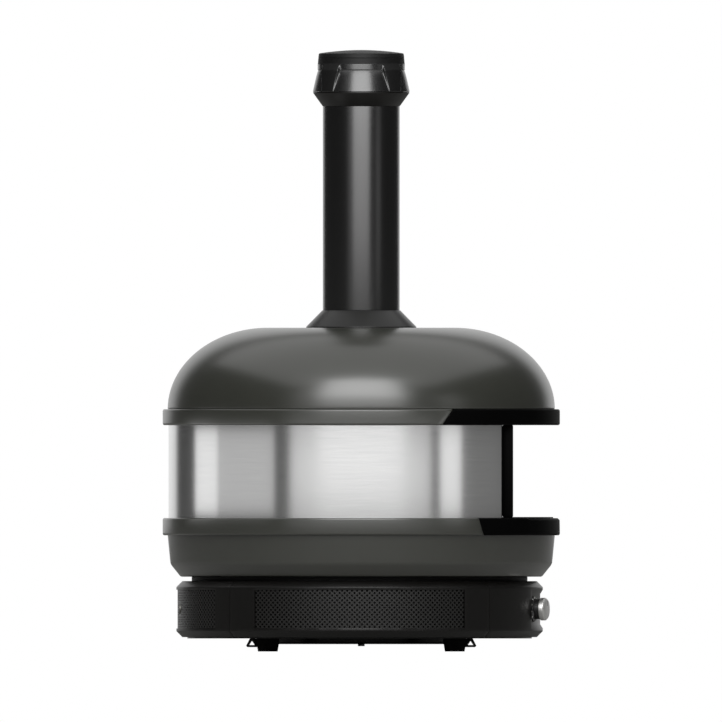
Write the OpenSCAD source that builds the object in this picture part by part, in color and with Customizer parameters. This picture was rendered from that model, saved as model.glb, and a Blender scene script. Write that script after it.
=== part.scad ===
// Round gas-fired pizza oven: drum base, bowl, steel wall with a mouth at the front, dome and chimney.
// Millimetres, +Z up. The mouth faces -Y and the feet stand on z = 0, under the middle of the rims.

/* [Rims] */
// Outer diameter of both rims
rim_d = 595; // [585:1:620]
// How far the rims stand out past the dome and the bowl
rim_overhang = 7.5; // [5:0.5:10]
// Height of the upper rim
upper_rim_h = 24; // [18:0.5:30]
// Height of the lower rim
lower_rim_h = 26; // [20:0.5:32]
// Sheet thickness of the rims
rim_t = 2; // [1.5:0.1:2.5]
// Width of the rims' flanges
rim_flange = 17.5; // [14:0.5:22]
// Outside rounding of the rims' edges
rim_edge_r = 3; // [2.6:0.1:5]
// Distance from the axis to the upper lip's seam, at its top edge
upper_lip_reach = 137; // [120:1:160]
// How far the upper seam leans back at its lower edge
upper_seam_lean = 16; // [0:1:24]
// Distance from the axis to the lower lip's seam, at its top edge
lower_lip_reach = 176; // [150:1:190]
// How far the lower seam leans forward at its lower edge
lower_seam_lean = 7.5; // [0:0.5:15]
// Bevel on the lower lip's top edge
lip_bevel = 3.5; // [2.5:0.1:4]
// Half angle of the bevelled stretch
lip_bevel_angle = 32.5; // [20:0.5:45]

/* [Wall and mouth] */
// Height of the wall between the rims
wall_h = 139; // [120:1:160]
// Distance from the rim's edge to the wall's face
wall_setback = 8.8; // [7:0.1:11]
// Thickness of the wall's steel band
wall_t = 1; // [0.6:0.1:1.5]
// Distance from the wall's face to the cavity's lining
jacket_w = 48.7; // [38:0.1:54]
// Sheet thickness of the linings
liner_t = 1.5; // [1:0.1:2]
// Thickness of the two decks
deck_t = 1.5; // [1:0.1:3]
// Distance from the rim's edge to the mouth's plane
mouth_setback = 87.5; // [82:0.5:98]
// Width of the mouth
mouth_w = 330; // [300:1:340]
// Height of the header over the mouth
header_h = 22; // [14:1:35]
// Radius of the mouth's upper corners
mouth_corner_r = 24; // [8:1:40]
// Thickness of the plate round the mouth
mouth_plate_t = 1.5; // [1:0.1:2.5]
// How far the mouth's frame stands out of that plate
frame_depth = 16; // [10:0.5:20]
// Width of the mouth's frame
frame_w = 17; // [10:0.5:20]

/* [Floor] */
// Distance from the cavity's lining to the baking stone
stone_ledge = 45; // [42:0.5:55]
// Thickness of the baking stone
stone_t = 20; // [12:0.5:28]
// How far the stone stands above the deck
stone_proud = 0.5; // [0:0.1:2]
// Gap round the stone
stone_gap = 2; // [1:0.1:3]
// Width of the stone tray's flange
tray_flange = 9; // [6:0.5:11]

/* [Bowl and neck] */
// Height of the bowl
bowl_h = 62; // [52:1:75]
// Height of the bowl's lower slope
bowl_slope_h = 19; // [12:0.5:26]
// How far the bowl narrows from the rim down to that slope
bowl_taper = 4.25; // [2:0.25:9]
// How far the slope runs in to the bowl's floor
bowl_slope_run = 15.25; // [10:0.25:22]
// Sheet thickness of the bowl and the dome
shell_t = 2; // [1.2:0.1:3]
// Distance from the edge of the bowl's floor to the neck ring
neck_setback = 19; // [13:0.5:25]
// Height of the neck ring
neck_h = 6.5; // [4:0.5:14]
// Width of the neck ring's band
neck_w = 13.5; // [11:0.5:18]
// Diameter of the neck screws
neck_screw_d = 6; // [4:0.5:8]

/* [Base drum] */
// How far the drum stands out past the neck ring
drum_ledge = 23; // [18:0.5:28]
// Height of the drum
drum_h = 84; // [78:1:96]
// Chamfer at the drum's top and bottom edges
drum_chamfer = 9; // [5:0.5:12]
// Sheet thickness of the drum
drum_t = 1.5; // [1:0.1:2]
// How far the drum and the neck sit behind the oven's axis
base_shift = 2.5; // [0:0.5:5]
// Distance from the drum's wall to the base plate's edge
plate_setback = 16.5; // [12:0.5:24]
// Thickness of the base plate
plate_t = 2; // [1.5:0.1:3]
// Height of the drum's wall left above and below a vent window
vent_edge = 4; // [3:0.5:12]
// Half angle of the side vent windows
side_vent_angle = 35; // [20:0.5:41]
// Half angle of the rear vent window
rear_vent_angle = 38; // [20:0.5:41]
// Sheet thickness of the vent grilles
grille_t = 1.2; // [0.8:0.1:2]
// How far a grille laps sideways behind its window's edge
grille_lap = 5; // [3:0.5:7]
// Distance from the drum's wall to the baffle behind the vents
baffle_setback = 13.5; // [12:0.5:20]
// Sheet thickness of the baffle
baffle_t = 1; // [0.8:0.1:1.5]
// Air gap above the baffle
baffle_gap = 8; // [4:0.5:10]
// Half angle of the baffle, which leaves the front open for the valve
baffle_angle = 140; // [132:1:145]

/* [Feet] */
// Height of the feet
foot_h = 19.5; // [16:0.5:28]
// Sideways distance of the feet from the middle
foot_x = 140; // [125:1:150]
// Fore and aft distance of the feet from the middle
foot_y = 140; // [125:1:150]
// Width of a foot at its top
foot_top_w = 36; // [30:0.5:42]
// Width of a foot at the ground
foot_ground_w = 29.5; // [20:0.5:30]
// Thickness of the foot brackets
bracket_t = 3; // [2:0.5:6]
// How far a bracket reaches past the middle of its foot
bracket_reach = 32.5; // [30:0.5:38]
// Height of a bracket's lower edge
bracket_z = 6.5; // [4:0.5:8]
// Width of the eyelet at its base
eyelet_w = 8; // [5:0.5:9]
// Height of the eyelet
eyelet_h = 6; // [4:0.5:7]
// Diameter of the foot screws
foot_screw_d = 5; // [4:0.5:6]
// Diameter of the pan under the base
pan_d = 276; // [240:1:300]
// Depth of the pan under the base
pan_h = 8.5; // [5:0.5:12]
// Diameter of the pan's bolt
pan_bolt_d = 6; // [4:0.5:8]

/* [Controls and gas] */
// Clear width between the dial ring and the side of the control recess
recess_margin = 0.2; // [0.2:0.1:20]
// Height of the drum's wall left above and below the control recess
recess_edge = 4; // [3:0.5:8]
// Depth of the control recess
recess_depth = 4; // [3:0.5:6]
// Height of the sloped edges of the recess
recess_slope = 6.5; // [3:0.5:8]
// Angle of the knob from the front, towards the left side
knob_angle = 16; // [12:0.5:18]
// Diameter of the knob
knob_d = 34; // [28:0.5:40]
// Length of the knob
knob_len = 9.5; // [8:0.5:14]
// Bevel of the knob's face
knob_bevel = 3; // [1:0.5:5]
// Diameter of the hub behind the knob
hub_d = 30; // [22:0.5:31]
// Length of the hub
hub_len = 8; // [6:0.5:10]
// Outer diameter of the dial ring round the knob
bezel_d = 37.5; // [35:0.5:44]
// Thickness of the dial ring
bezel_t = 2; // [1:0.5:3]
// How far the knob can be pushed in
push_travel = 4; // [2:0.5:5]
// Diameter of the valve's spindle
spindle_d = 8; // [6:0.5:10]
// Length of the valve's block
valve_len = 50; // [40:1:60]
// Width of the valve's block
valve_w = 30; // [24:1:36]
// Sideways distance of the gas inlet from the middle
inlet_x = 43; // [36:1:48]
// Outer diameter of the gas inlet
inlet_d = 14; // [13.5:0.5:18]
// Diameter of the inlet's threaded hole
inlet_thread_d = 11.44; // [8:0.02:12]
// Depth of the inlet's threaded hole
inlet_thread_len = 12; // [8:0.5:20]
// Length of the gas inlet
inlet_len = 48; // [44:1:60]
// Diameter of the supply pipe
supply_d = 10; // [8:0.5:12]
// Diameter of the feed pipe
feed_d = 8; // [6:0.5:9]

/* [Burner] */
// Distance from the cavity's lining to the burner's middle line
burner_setback = 22; // [18:0.5:24]
// Half angle of the burner
burner_angle = 50; // [30:1:60]
// Width of the burner
burner_w = 16; // [12:0.5:20]
// Height of the burner
burner_h = 14; // [10:0.5:20]
// Height of the burner above the deck
burner_lift = 6.5; // [4:0.5:12]
// Diameter of a flame port
port_d = 3; // [2:0.5:4]
// Number of flame ports
port_count = 13; // [5:2:17]
// Height of the igniter
igniter_h = 31; // [25:1:40]

/* [Dome] */
// Height of the dome above the upper rim
dome_h = 122; // [105:1:140]
// Diameter of the dome's flat top
dome_flat_d = 280; // [240:1:310]
// Thickness of the insulation under the dome
insulation_t = 26; // [20:1:32]

/* [Chimney] */
// Height of the collar
collar_h = 26; // [18:0.5:40]
// Diameter of the collar at its foot
collar_d = 165; // [150:1:190]
// Outer diameter of the flue tube
flue_d = 115.2; // [105:0.2:120]
// Sheet thickness of the flue tube
flue_t = 1.2; // [0.8:0.1:2]
// Height of the flue tube
flue_h = 306; // [250:1:360]
// How far the throat reaches up into the flue tube
throat_reach = 40; // [20:1:80]
// How far the cap's spigot reaches down into the flue tube
spigot_reach = 30; // [15:1:60]

/* [Cap] */
// Height of the cap's lower cone
cone_h = 21.5; // [18:0.5:30]
// Diameter of the cap's lower cone at its top
cone_d = 144; // [138:0.5:150]
// Gap between the cone and the hood
cap_gap = 2; // [1.5:0.5:6]
// Height of the hood
hood_h = 48.5; // [44:0.5:60]
// Diameter of the hood at its lower edge
hood_d = 146.6; // [144:0.2:156]
// Diameter of the hood at its shoulder
hood_shoulder_d = 139; // [136:0.5:142]
// Diameter of the hood at its neck, above the windows
hood_neck_d = 130; // [128:0.5:134]
// Height of the shoulder above the hood's lower edge
hood_shoulder_z = 30.5; // [26:0.5:34]
// Height of the windows
window_h = 39.5; // [36:0.5:42]
// Half width of a window at its lower edge
window_foot_w = 41.6; // [36:0.2:46]
// Half width of a window at its top
window_top_w = 31; // [24:0.5:34]
// Radius of a window's upper corners
window_corner_r = 5; // [2:0.5:8]
// Depth of a window at the hood's lower edge
window_foot_depth = 0.7; // [0.4:0.1:1.2]
// Sheet thickness of the hood
hood_t = 1.5; // [1:0.1:2]
// How far the hood's inner skirt hangs below the cone's top
skirt_lap = 2.5; // [1:0.5:5]
// Height of the lid's edge
lid_edge_h = 7; // [4:0.5:12]
// Rise of the lid's crown
lid_crown_h = 5; // [2:0.5:10]
// How far the lid narrows from its seam to its edge
lid_taper = 1; // [0:0.1:2]

/* [Fits] */
// Gap between curved pieces that sit round each other
fit = 0.3; // [0.2:0.05:0.5]
// Gap of the parts that slip over each other
slip_fit = 0.4; // [0.3:0.05:0.8]
// Gap round the screws
screw_fit = 0.3; // [0.2:0.05:0.5]
// Gap of the pieces pressed on a shaft
press_gap = 0.1; // [0.05:0.05:0.2]

/* [Hidden] */
$fn = 96;

// Colours, as the object shows them
olive = "#4a4c47";
black = "#141414";
steel = "#b9b9ba";
dark_steel = "#5c5b58";
satin_grey = "#a8a8a6";
wool = "#d8d2c0";
clay = "#cdbfa6";
brassy = "#b39a56";

// Steps of a quarter round, of the dome's curve and of the lid's crown
corner_steps = 5;
dome_steps = 24;
crown_steps = 8;

// Overshoot of a cut past the face that it opens
cut = 1;

// Radii of the main pieces
rim_r = rim_d / 2;
shell_r = rim_r - rim_overhang;
wall_r = rim_r - wall_setback;
inside_wall_r = wall_r - wall_t - fit;
cavity_r = wall_r - jacket_w;
stone_r = cavity_r - stone_ledge;
deck_hole_r = stone_r + stone_gap;
bowl_bend_r = shell_r - bowl_taper;
bowl_floor_r = bowl_bend_r - bowl_slope_run;
neck_r = bowl_floor_r - neck_setback;
drum_r = neck_r + drum_ledge;
plate_r = drum_r - plate_setback;
burner_r = cavity_r - burner_setback;
flue_r = flue_d / 2;
throat_r = flue_r - flue_t - slip_fit;
throat_bore_r = throat_r - liner_t;

// Heights of the stack, from the ground up
z_plate = foot_h;
z_drum = z_plate + plate_t;
z_neck = z_drum + drum_h;
z_bowl = z_neck + neck_h;
z_lower_rim = z_bowl + bowl_h;
z_wall = z_lower_rim + lower_rim_h;
z_deck = z_wall + deck_t;
z_upper_rim = z_wall + wall_h;
z_ceiling = z_upper_rim + rim_t;
z_inner_dome = z_ceiling + deck_t;
z_dome = z_upper_rim + upper_rim_h;
z_collar = z_dome + dome_h;
z_flue = z_collar + collar_h;
z_cap = z_flue + flue_h;
z_hood = z_cap + cone_h + cap_gap;
z_lid = z_hood + hood_h;

// Mouth
mouth_half = mouth_w / 2;
mouth_plane = rim_r - mouth_setback;
mouth_top = z_upper_rim - header_h;
mouth_plate_half = sqrt(wall_r * wall_r - mouth_plane * mouth_plane);
cheek_half = mouth_half + liner_t;
cheek_back = sqrt(pow(cavity_r - liner_t, 2) - cheek_half * cheek_half);

// Floor
z_stone = z_deck + stone_proud - stone_t;
z_tray = z_stone - liner_t;
slab_inset = 10;

// Drum
flange_lap = 2;
drum_flange_r = neck_r - neck_w + flange_lap;
z_control = z_drum + drum_h / 2;
straight_h = drum_h - 2 * drum_chamfer;
vent_h = straight_h - 2 * vent_edge;
recess_h = straight_h - 2 * recess_edge;
edge_lap = 0.75;
grille_r = drum_r - drum_t - fit;
neck_screw_count = 8;
neck_screw_ring = neck_r - neck_w / 2;
neck_screw_head_h = 4;
neck_screw_tail = 6;
front_angle = 270;
left_angle = 180;
rear_angle = 90;
right_angle = 0;
quarter = 90;

// Feet
foot_hole_floor = 6;
foot_screw_head_h = 3;
foot_screw_tip = 1;
bracket_top_back = 5.5;
bracket_toe = 2;
eyelet_floor = 3.25;
eyelet_inset = 3.3;
pan_chamfer = 2.5;
pan_head_h = 3;
pan_bolt_tail = 4;

// Knob and valve, as radii from the drum's axis along the knob's own axis
control_r = drum_r - recess_depth;
control_back_r = control_r - drum_t;
recess_angle = knob_angle + asin((bezel_d / 2 + recess_margin) / control_r);
bezel_gap = 0.2;
hub_clearance = 0.6;
push_clearance = 0.5;
knob_back_r = control_r + push_travel + push_clearance + hub_len;
hub_back_r = knob_back_r - hub_len;
knob_socket = knob_len - knob_bevel;
nose_gap = 0.5;
nose_len = 13;
nose_r = valve_w / 3;
nose_end_r = control_back_r - nose_gap;
valve_front_r = nose_end_r - nose_len;
valve_back_r = valve_front_r - valve_len;
spindle_r = spindle_d / 2;
spindle_back_r = nose_end_r - 28;
plunger_len = 9;
bore_floor_r = spindle_back_r - plunger_len - push_travel - push_clearance;
panel_hole_r = spindle_r + 2;

// Gas line
inlet_end_y = sqrt(drum_r * drum_r - inlet_x * inlet_x) - 0.8;
inlet_start_y = inlet_end_y - inlet_len;
inlet_bore_d = 6;
inlet_window_gap = 1;
inlet_bracket_t = 2;
inlet_bracket_half = 15;
inlet_bracket_foot = 22;
inlet_bracket_y = inlet_start_y + 4;
inlet_nut_r = inlet_d / 2 + 4;
inlet_nut_h = 6;
elbow_swell = 1.5;
elbow_y = inlet_x / tan(knob_angle);
elbow_r = inlet_x / sin(knob_angle);
feed_inset = 10;
feed_rise = 16;
feed_out_r = valve_back_r + feed_inset;
feed_x = -feed_out_r * sin(knob_angle);
feed_front_y = base_shift - feed_out_r * cos(knob_angle);
feed_rear_y = sqrt(burner_r * burner_r - feed_x * feed_x);
z_feed_start = z_control + valve_w / 2;
z_feed_run = z_feed_start + feed_rise;
feed_hole_r = feed_d / 2 + fit;

// Burner
z_burner = z_deck + burner_lift;
burner_wall = 1.5;
burner_end_angle = 0.6;
port_span = burner_angle - 6;
post_angle = burner_angle - 10;
post_r = 4;
igniter_angle = burner_angle + 8;
ceramic_r = 4;
ceramic_h = 20;
electrode_r = 1.2;

// Dome, its lining and the insulation between them
dome_flat_r = dome_flat_d / 2;
dome_run = shell_r - dome_flat_r;
lining_r = cavity_r + liner_t;
lining_flat_r = dome_flat_r - insulation_t;
lining_run = lining_r - lining_flat_r;
z_lining_top = z_collar - shell_t - insulation_t;
lining_rise = z_lining_top - z_inner_dome;
throat_flange_r = throat_r + 18;

// Collar
collar_edge = 1.5;
collar_foot_w = 2.5;
collar_top_r = flue_r + 0.8;
collar_lip = 2;

// Cap
spigot_r = flue_r - flue_t - slip_fit;
spigot_bore_r = spigot_r - liner_t;
cone_foot_r = flue_r + 0.4;
cone_r = cone_d / 2;
cone_edge = 2;
ledge_h = 7;
ledge_r = spigot_bore_r + 6;
strut_w = 8;
strut_t = 3.5;
strut_inset = 0.5;
strut_count = 4;
window_count = 4;
hood_r = hood_d / 2;
hood_floor_r = hood_r - window_foot_depth;
hood_neck_r = hood_neck_d / 2;
hood_floor_top_r = hood_neck_r - 0.4;
hood_seam_r = hood_neck_r - 0.6;
window_slant = atan((window_foot_w - window_top_w) / window_h);
lid_edge_r = hood_seam_r - lid_taper;

// Points of an arc about c, and of an ellipse's arc with half axes a and b
function arc(c, r, from, to, steps) = ellipse(c, r, r, from, to, steps);
function ellipse(c, a, b, from, to, steps) =
  [for (i = [0:steps]) let (t = from + (to - from) * i / steps) c + [a * cos(t), b * sin(t)]];

// Section of a rim's channel, open towards the axis, standing on z0
function rim_section(z0, h) =
  let (inner = rim_r - rim_flange, c = rim_r - rim_edge_r, bend = rim_edge_r - rim_t)
  concat(
    [[inner, z0]],
    arc([c, z0 + rim_edge_r], rim_edge_r, -90, 0, corner_steps),
    arc([c, z0 + h - rim_edge_r], rim_edge_r, 0, 90, corner_steps),
    [[inner, z0 + h], [inner, z0 + h - rim_t]],
    arc([c, z0 + h - rim_edge_r], bend, 90, 0, corner_steps),
    arc([c, z0 + rim_edge_r], bend, 0, -90, corner_steps),
    [[inner, z0 + rim_t]]
  );

// Section of a dome's curve from its foot at z0 to its flat top, grown outwards by extra
function dome_curve(flat_r, run, rise, z0, extra) =
  ellipse([flat_r, z0], run + extra, rise + extra, 0, 90, dome_steps);

function reversed(points) = [for (i = [len(points) - 1:-1:0]) points[i]];

module lathe(points) {
  rotate_extrude() polygon(points);
}

// A piece of a turned section, centred on one direction
module sector(direction, half_angle, points) {
  rotate([0, 0, direction - half_angle]) rotate_extrude(angle = 2 * half_angle) polygon(points);
}

module tube(r, bore_r, z0, h) {
  translate([0, 0, z0]) difference() {
    cylinder(r = r, h = h);
    translate([0, 0, -cut]) cylinder(r = bore_r, h = h + 2 * cut);
  }
}

// A straight pipe between two points
module pipe(from, to, d) {
  run = to - from;
  length = norm(run);
  translate(from)
    rotate([0, acos(run.z / length), atan2(run.y, run.x)])
      cylinder(d = d, h = length);
}

module elbow(at, d) {
  translate(at) sphere(d = d + 2 * elbow_swell);
}

// A sheet whose outline lies in the plane of y and z, centred on x
module side_sheet(thickness, points) {
  rotate([90, 0, 90]) linear_extrude(thickness, center = true) polygon(points);
}

// A sheet whose outline lies in the plane of x and z, from y0 towards the front
module front_sheet(y0, thickness, points) {
  translate([0, y0, 0]) rotate([90, 0, 0]) linear_extrude(thickness) polygon(points);
}

module base_frame() {
  translate([0, base_shift, 0]) children();
}

// Local +Z runs out along the knob's axis, from the drum's axis
module knob_frame() {
  base_frame() translate([0, 0, z_control]) rotate([0, 0, -knob_angle]) rotate([90, 0, 0]) children();
}

// Local +Z runs out along the gas inlet's axis
module inlet_frame(y) {
  base_frame() translate([-inlet_x, y, z_control]) rotate([-90, 0, 0]) children();
}

// A piece at each foot, turned half round at the front so that it faces away from the middle
module each_foot() {
  for (sx = [-1, 1], sy = [-1, 1]) {
    translate([sx * foot_x, sy * foot_y, 0]) rotate([0, 0, sy > 0 ? 0 : 180]) children();
  }
}

module foot_pads() {
  color(black) each_foot() difference() {
    side_sheet(foot_top_w, [
      [-foot_ground_w / 2, 0], [foot_ground_w / 2, 0],
      [foot_top_w / 2, foot_h], [-foot_top_w / 2, foot_h]
    ]);
    translate([0, 0, foot_hole_floor]) cylinder(d = foot_screw_d + 2 * screw_fit, h = foot_h);
  }
}

// Half width of a foot at height z
function foot_half(z) = (foot_ground_w + (foot_top_w - foot_ground_w) * z / foot_h) / 2;

module foot_brackets() {
  eyelet_z = bracket_z + eyelet_floor;
  eyelet_y = foot_half(eyelet_z) + eyelet_inset;
  color(black) each_foot() difference() {
    side_sheet(bracket_t, [
      [foot_half(bracket_z), bracket_z],
      [bracket_reach - bracket_toe, bracket_z],
      [bracket_reach, bracket_z + bracket_toe],
      [bracket_reach - bracket_top_back, foot_h],
      [foot_half(foot_h), foot_h]
    ]);
    side_sheet(bracket_t + 2 * cut, [
      [eyelet_y, eyelet_z], [eyelet_y + eyelet_w, eyelet_z], [eyelet_y + eyelet_w / 2, eyelet_z + eyelet_h]
    ]);
  }
}

module foot_screws() {
  shank_z = foot_hole_floor + foot_screw_tip;
  color(dark_steel) each_foot() {
    translate([0, 0, shank_z]) cylinder(d = foot_screw_d, h = z_drum - shank_z);
    translate([0, 0, z_drum]) cylinder(d = 2 * foot_screw_d, h = foot_screw_head_h);
  }
}

module base_plate() {
  color(black) difference() {
    base_frame() translate([0, 0, z_plate]) cylinder(r = plate_r, h = plate_t);
    each_foot() translate([0, 0, z_plate - cut])
      cylinder(d = foot_screw_d + 2 * screw_fit, h = plate_t + 2 * cut);
    translate([0, 0, z_plate - cut]) cylinder(d = pan_bolt_d + 2 * screw_fit, h = plate_t + 2 * cut);
  }
}

module under_pan() {
  r = pan_d / 2;
  z0 = z_plate - pan_h;
  hole_r = pan_bolt_d / 2 + screw_fit;
  color(black) lathe([
    [hole_r, z0], [r - pan_chamfer, z0], [r, z0 + pan_chamfer], [r, z_plate],
    [r - drum_t, z_plate], [r - drum_t, z0 + pan_chamfer + drum_t / 2],
    [r - pan_chamfer - drum_t / 2, z0 + drum_t], [hole_r, z0 + drum_t]
  ]);
}

module pan_bolt() {
  z0 = z_plate - pan_h;
  color(dark_steel) {
    translate([0, 0, z0]) cylinder(d = pan_bolt_d, h = z_drum + pan_bolt_tail - z0);
    translate([0, 0, z0 - pan_head_h]) cylinder(d = 1.7 * pan_bolt_d, h = pan_head_h);
  }
}

// Section of the drum's sheet: two flanges, two chamfers and the wall
function drum_section() =
  let (k = drum_t * tan(22.5), c = drum_chamfer)
  [
    [drum_flange_r, z_drum], [drum_r - c, z_drum], [drum_r, z_drum + c],
    [drum_r, z_neck - c], [drum_r - c, z_neck], [drum_flange_r, z_neck],
    [drum_flange_r, z_neck - drum_t], [drum_r - c - k, z_neck - drum_t],
    [drum_r - drum_t, z_neck - c - k], [drum_r - drum_t, z_drum + c + k],
    [drum_r - c - k, z_drum + drum_t], [drum_flange_r, z_drum + drum_t]
  ];

module each_neck_screw() {
  for (i = [0:neck_screw_count - 1]) {
    rotate([0, 0, (i + 0.5) * 360 / neck_screw_count]) translate([neck_screw_ring, 0, 0]) children();
  }
}

module neck_screw_holes(z0, h) {
  each_neck_screw() translate([0, 0, z0 - cut]) cylinder(d = neck_screw_d + 2 * screw_fit, h = h + 2 * cut);
}

module drum_panel(direction) {
  base_frame() difference() {
    sector(direction, quarter / 2, drum_section());
    neck_screw_holes(z_neck - drum_t, drum_t);
    children();
  }
}

module vent_window(direction, half_angle) {
  z0 = z_control - vent_h / 2;
  sector(direction, half_angle, [
    [drum_r - 2 * drum_t, z0], [drum_r + cut, z0],
    [drum_r + cut, z0 + vent_h], [drum_r - 2 * drum_t, z0 + vent_h]
  ]);
}

// The hollow of the control recess, with sloped upper and lower edges
module recess_hollow() {
  z0 = z_control - recess_h / 2;
  z1 = z_control + recess_h / 2;
  slope = recess_slope / recess_depth;
  sector(front_angle, recess_angle, [
    [control_r, z0 + recess_slope], [drum_r + cut, z0 - slope * cut],
    [drum_r + cut, z1 + slope * cut], [control_r, z1 - recess_slope]
  ]);
}

module front_panel() {
  color(black) drum_panel(front_angle) recess_hollow();
}

module left_panel() {
  color(black) drum_panel(left_angle) vent_window(left_angle, side_vent_angle);
}

module right_panel() {
  color(black) drum_panel(right_angle) vent_window(right_angle, side_vent_angle);
}

module rear_panel() {
  color(black) drum_panel(rear_angle) vent_window(rear_angle, rear_vent_angle);
}

// Angle that a lap takes up on the drum
function lap_angle(lap) = lap / drum_r * 180 / PI;

module grille(direction, half_angle) {
  z0 = z_control - vent_h / 2 - edge_lap * vent_edge;
  z1 = z_control + vent_h / 2 + edge_lap * vent_edge;
  base_frame() sector(direction, half_angle + lap_angle(grille_lap), [
    [grille_r - grille_t, z0], [grille_r, z0], [grille_r, z1], [grille_r - grille_t, z1]
  ]);
}

module left_grille() {
  color(black) grille(left_angle, side_vent_angle);
}

module right_grille() {
  color(black) grille(right_angle, side_vent_angle);
}

module rear_grille() {
  color(black) difference() {
    grille(rear_angle, rear_vent_angle);
    inlet_frame(inlet_start_y) cylinder(d = inlet_d + 2 * inlet_window_gap, h = 2 * inlet_len);
  }
}

// A sheet behind the vents that stands on the panels' flanges, open at the front and at its top
module vent_baffle() {
  r = drum_r - baffle_setback;
  z0 = z_drum + drum_t;
  z1 = z_neck - drum_t - baffle_gap;
  color(black) difference() {
    base_frame() sector(rear_angle, baffle_angle, [[r - baffle_t, z0], [r, z0], [r, z1], [r - baffle_t, z1]]);
    inlet_frame(inlet_start_y) cylinder(d = inlet_d + 2 * inlet_window_gap, h = 2 * inlet_len);
  }
}

module control_panel() {
  z0 = z_control - recess_h / 2 - edge_lap * recess_edge;
  z1 = z_control + recess_h / 2 + edge_lap * recess_edge;
  color(black) difference() {
    base_frame() difference() {
      sector(front_angle, recess_angle + lap_angle(grille_lap), [
        [control_back_r, z0], [grille_r, z0], [grille_r, z1], [control_back_r, z1]
      ]);
      recess_hollow();
    }
    knob_frame() translate([0, 0, valve_front_r]) cylinder(r = panel_hole_r, h = drum_r - valve_front_r);
  }
}

module knob_bezel() {
  color(black) knob_frame()
    tube(bezel_d / 2, hub_d / 2 + hub_clearance, control_r + bezel_gap, bezel_t);
}

module gas_knob() {
  r = knob_d / 2;
  color(satin_grey) knob_frame() difference() {
    translate([0, 0, knob_back_r]) lathe([
      [0, 0], [r, 0], [r, knob_len - knob_bevel], [r - knob_bevel, knob_len], [0, knob_len]
    ]);
    translate([0, 0, knob_back_r - cut])
      cylinder(r = spindle_r + press_gap, h = knob_socket + cut);
  }
}

module knob_hub() {
  color(black) knob_frame()
    tube(hub_d / 2, spindle_r + press_gap, hub_back_r, hub_len);
}

module valve_spindle() {
  color(brassy) knob_frame() translate([0, 0, spindle_back_r])
    cylinder(r = spindle_r, h = knob_back_r + knob_socket - press_gap - spindle_back_r);
}

module valve_plunger() {
  color(brassy) knob_frame() translate([0, 0, spindle_back_r - plunger_len])
    cylinder(r = spindle_r, h = plunger_len);
}

module gas_valve() {
  color(dark_steel) knob_frame() difference() {
    union() {
      translate([-valve_w / 2, -valve_w / 2, valve_back_r]) cube([valve_w, valve_w, valve_len]);
      translate([0, 0, valve_front_r]) cylinder(r = nose_r, h = nose_len);
    }
    translate([0, 0, bore_floor_r]) cylinder(r = spindle_r + fit, h = nose_end_r - bore_floor_r + cut);
  }
}

module gas_inlet() {
  color(brassy) inlet_frame(inlet_start_y) difference() {
    cylinder(d = inlet_d, h = inlet_len);
    translate([0, 0, -cut]) cylinder(d = inlet_bore_d, h = inlet_len);
    translate([0, 0, inlet_len - inlet_thread_len])
      cylinder(d = inlet_thread_d, h = inlet_thread_len + cut);
  }
}

module inlet_bracket() {
  height = z_control + inlet_bracket_half - z_drum;
  y0 = inlet_bracket_y;
  color(dark_steel) difference() {
    base_frame() translate([-inlet_x, 0, z_drum]) side_sheet(2 * inlet_bracket_half, [
      [y0 - inlet_bracket_foot, 0], [y0 + inlet_bracket_t, 0], [y0 + inlet_bracket_t, height],
      [y0, height], [y0, inlet_bracket_t], [y0 - inlet_bracket_foot, inlet_bracket_t]
    ]);
    inlet_frame(y0 - cut) cylinder(d = inlet_d + 2 * press_gap, h = inlet_bracket_t + 2 * cut);
  }
}

module inlet_nut() {
  color(brassy) inlet_frame(inlet_bracket_y + inlet_bracket_t) difference() {
    cylinder(r = inlet_nut_r, h = inlet_nut_h, $fn = 6);
    translate([0, 0, -cut]) cylinder(d = inlet_d + 2 * press_gap, h = inlet_nut_h + 2 * cut);
  }
}

module supply_pipe() {
  bend = [-inlet_x, -elbow_y, z_control];
  knob_way = [-sin(knob_angle), -cos(knob_angle), 0];
  color(steel) base_frame() {
    pipe([-inlet_x, inlet_start_y, z_control], bend, supply_d);
    elbow(bend, supply_d);
    pipe(bend, bend + (valve_back_r - elbow_r) * knob_way, supply_d);
  }
}

module feed_pipe() {
  front = [feed_x, feed_front_y, z_feed_run];
  rear = [feed_x, feed_rear_y, z_feed_run];
  color(steel) {
    pipe([feed_x, feed_front_y, z_feed_start], front, feed_d);
    elbow(front, feed_d);
    pipe(front, rear, feed_d);
    elbow(rear, feed_d);
    pipe(rear, [feed_x, feed_rear_y, z_burner], feed_d);
  }
}

module burner() {
  inner = burner_r - burner_w / 2;
  outer = burner_r + burner_w / 2;
  w = burner_wall;
  color(dark_steel) difference() {
    sector(rear_angle, burner_angle, [
      [inner, z_burner], [outer, z_burner], [outer, z_burner + burner_h], [inner, z_burner + burner_h]
    ]);
    sector(rear_angle, burner_angle - burner_end_angle, [
      [inner + w, z_burner + w], [outer - w, z_burner + w],
      [outer - w, z_burner + burner_h - w], [inner + w, z_burner + burner_h - w]
    ]);
    for (i = [0:port_count - 1]) {
      rotate([0, 0, rear_angle - port_span + 2 * port_span * i / (port_count - 1)])
        translate([inner - cut, 0, z_burner + burner_h / 2])
          rotate([0, 90, 0]) cylinder(d = port_d, h = burner_w / 2);
    }
    translate([feed_x, feed_rear_y, z_burner - cut]) cylinder(d = feed_d / 2, h = burner_h / 2);
  }
}

module burner_posts() {
  color(dark_steel) for (side = [-1, 1]) {
    rotate([0, 0, rear_angle + side * post_angle]) translate([burner_r, 0, z_deck])
      cylinder(r = post_r, h = burner_lift);
  }
}

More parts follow.
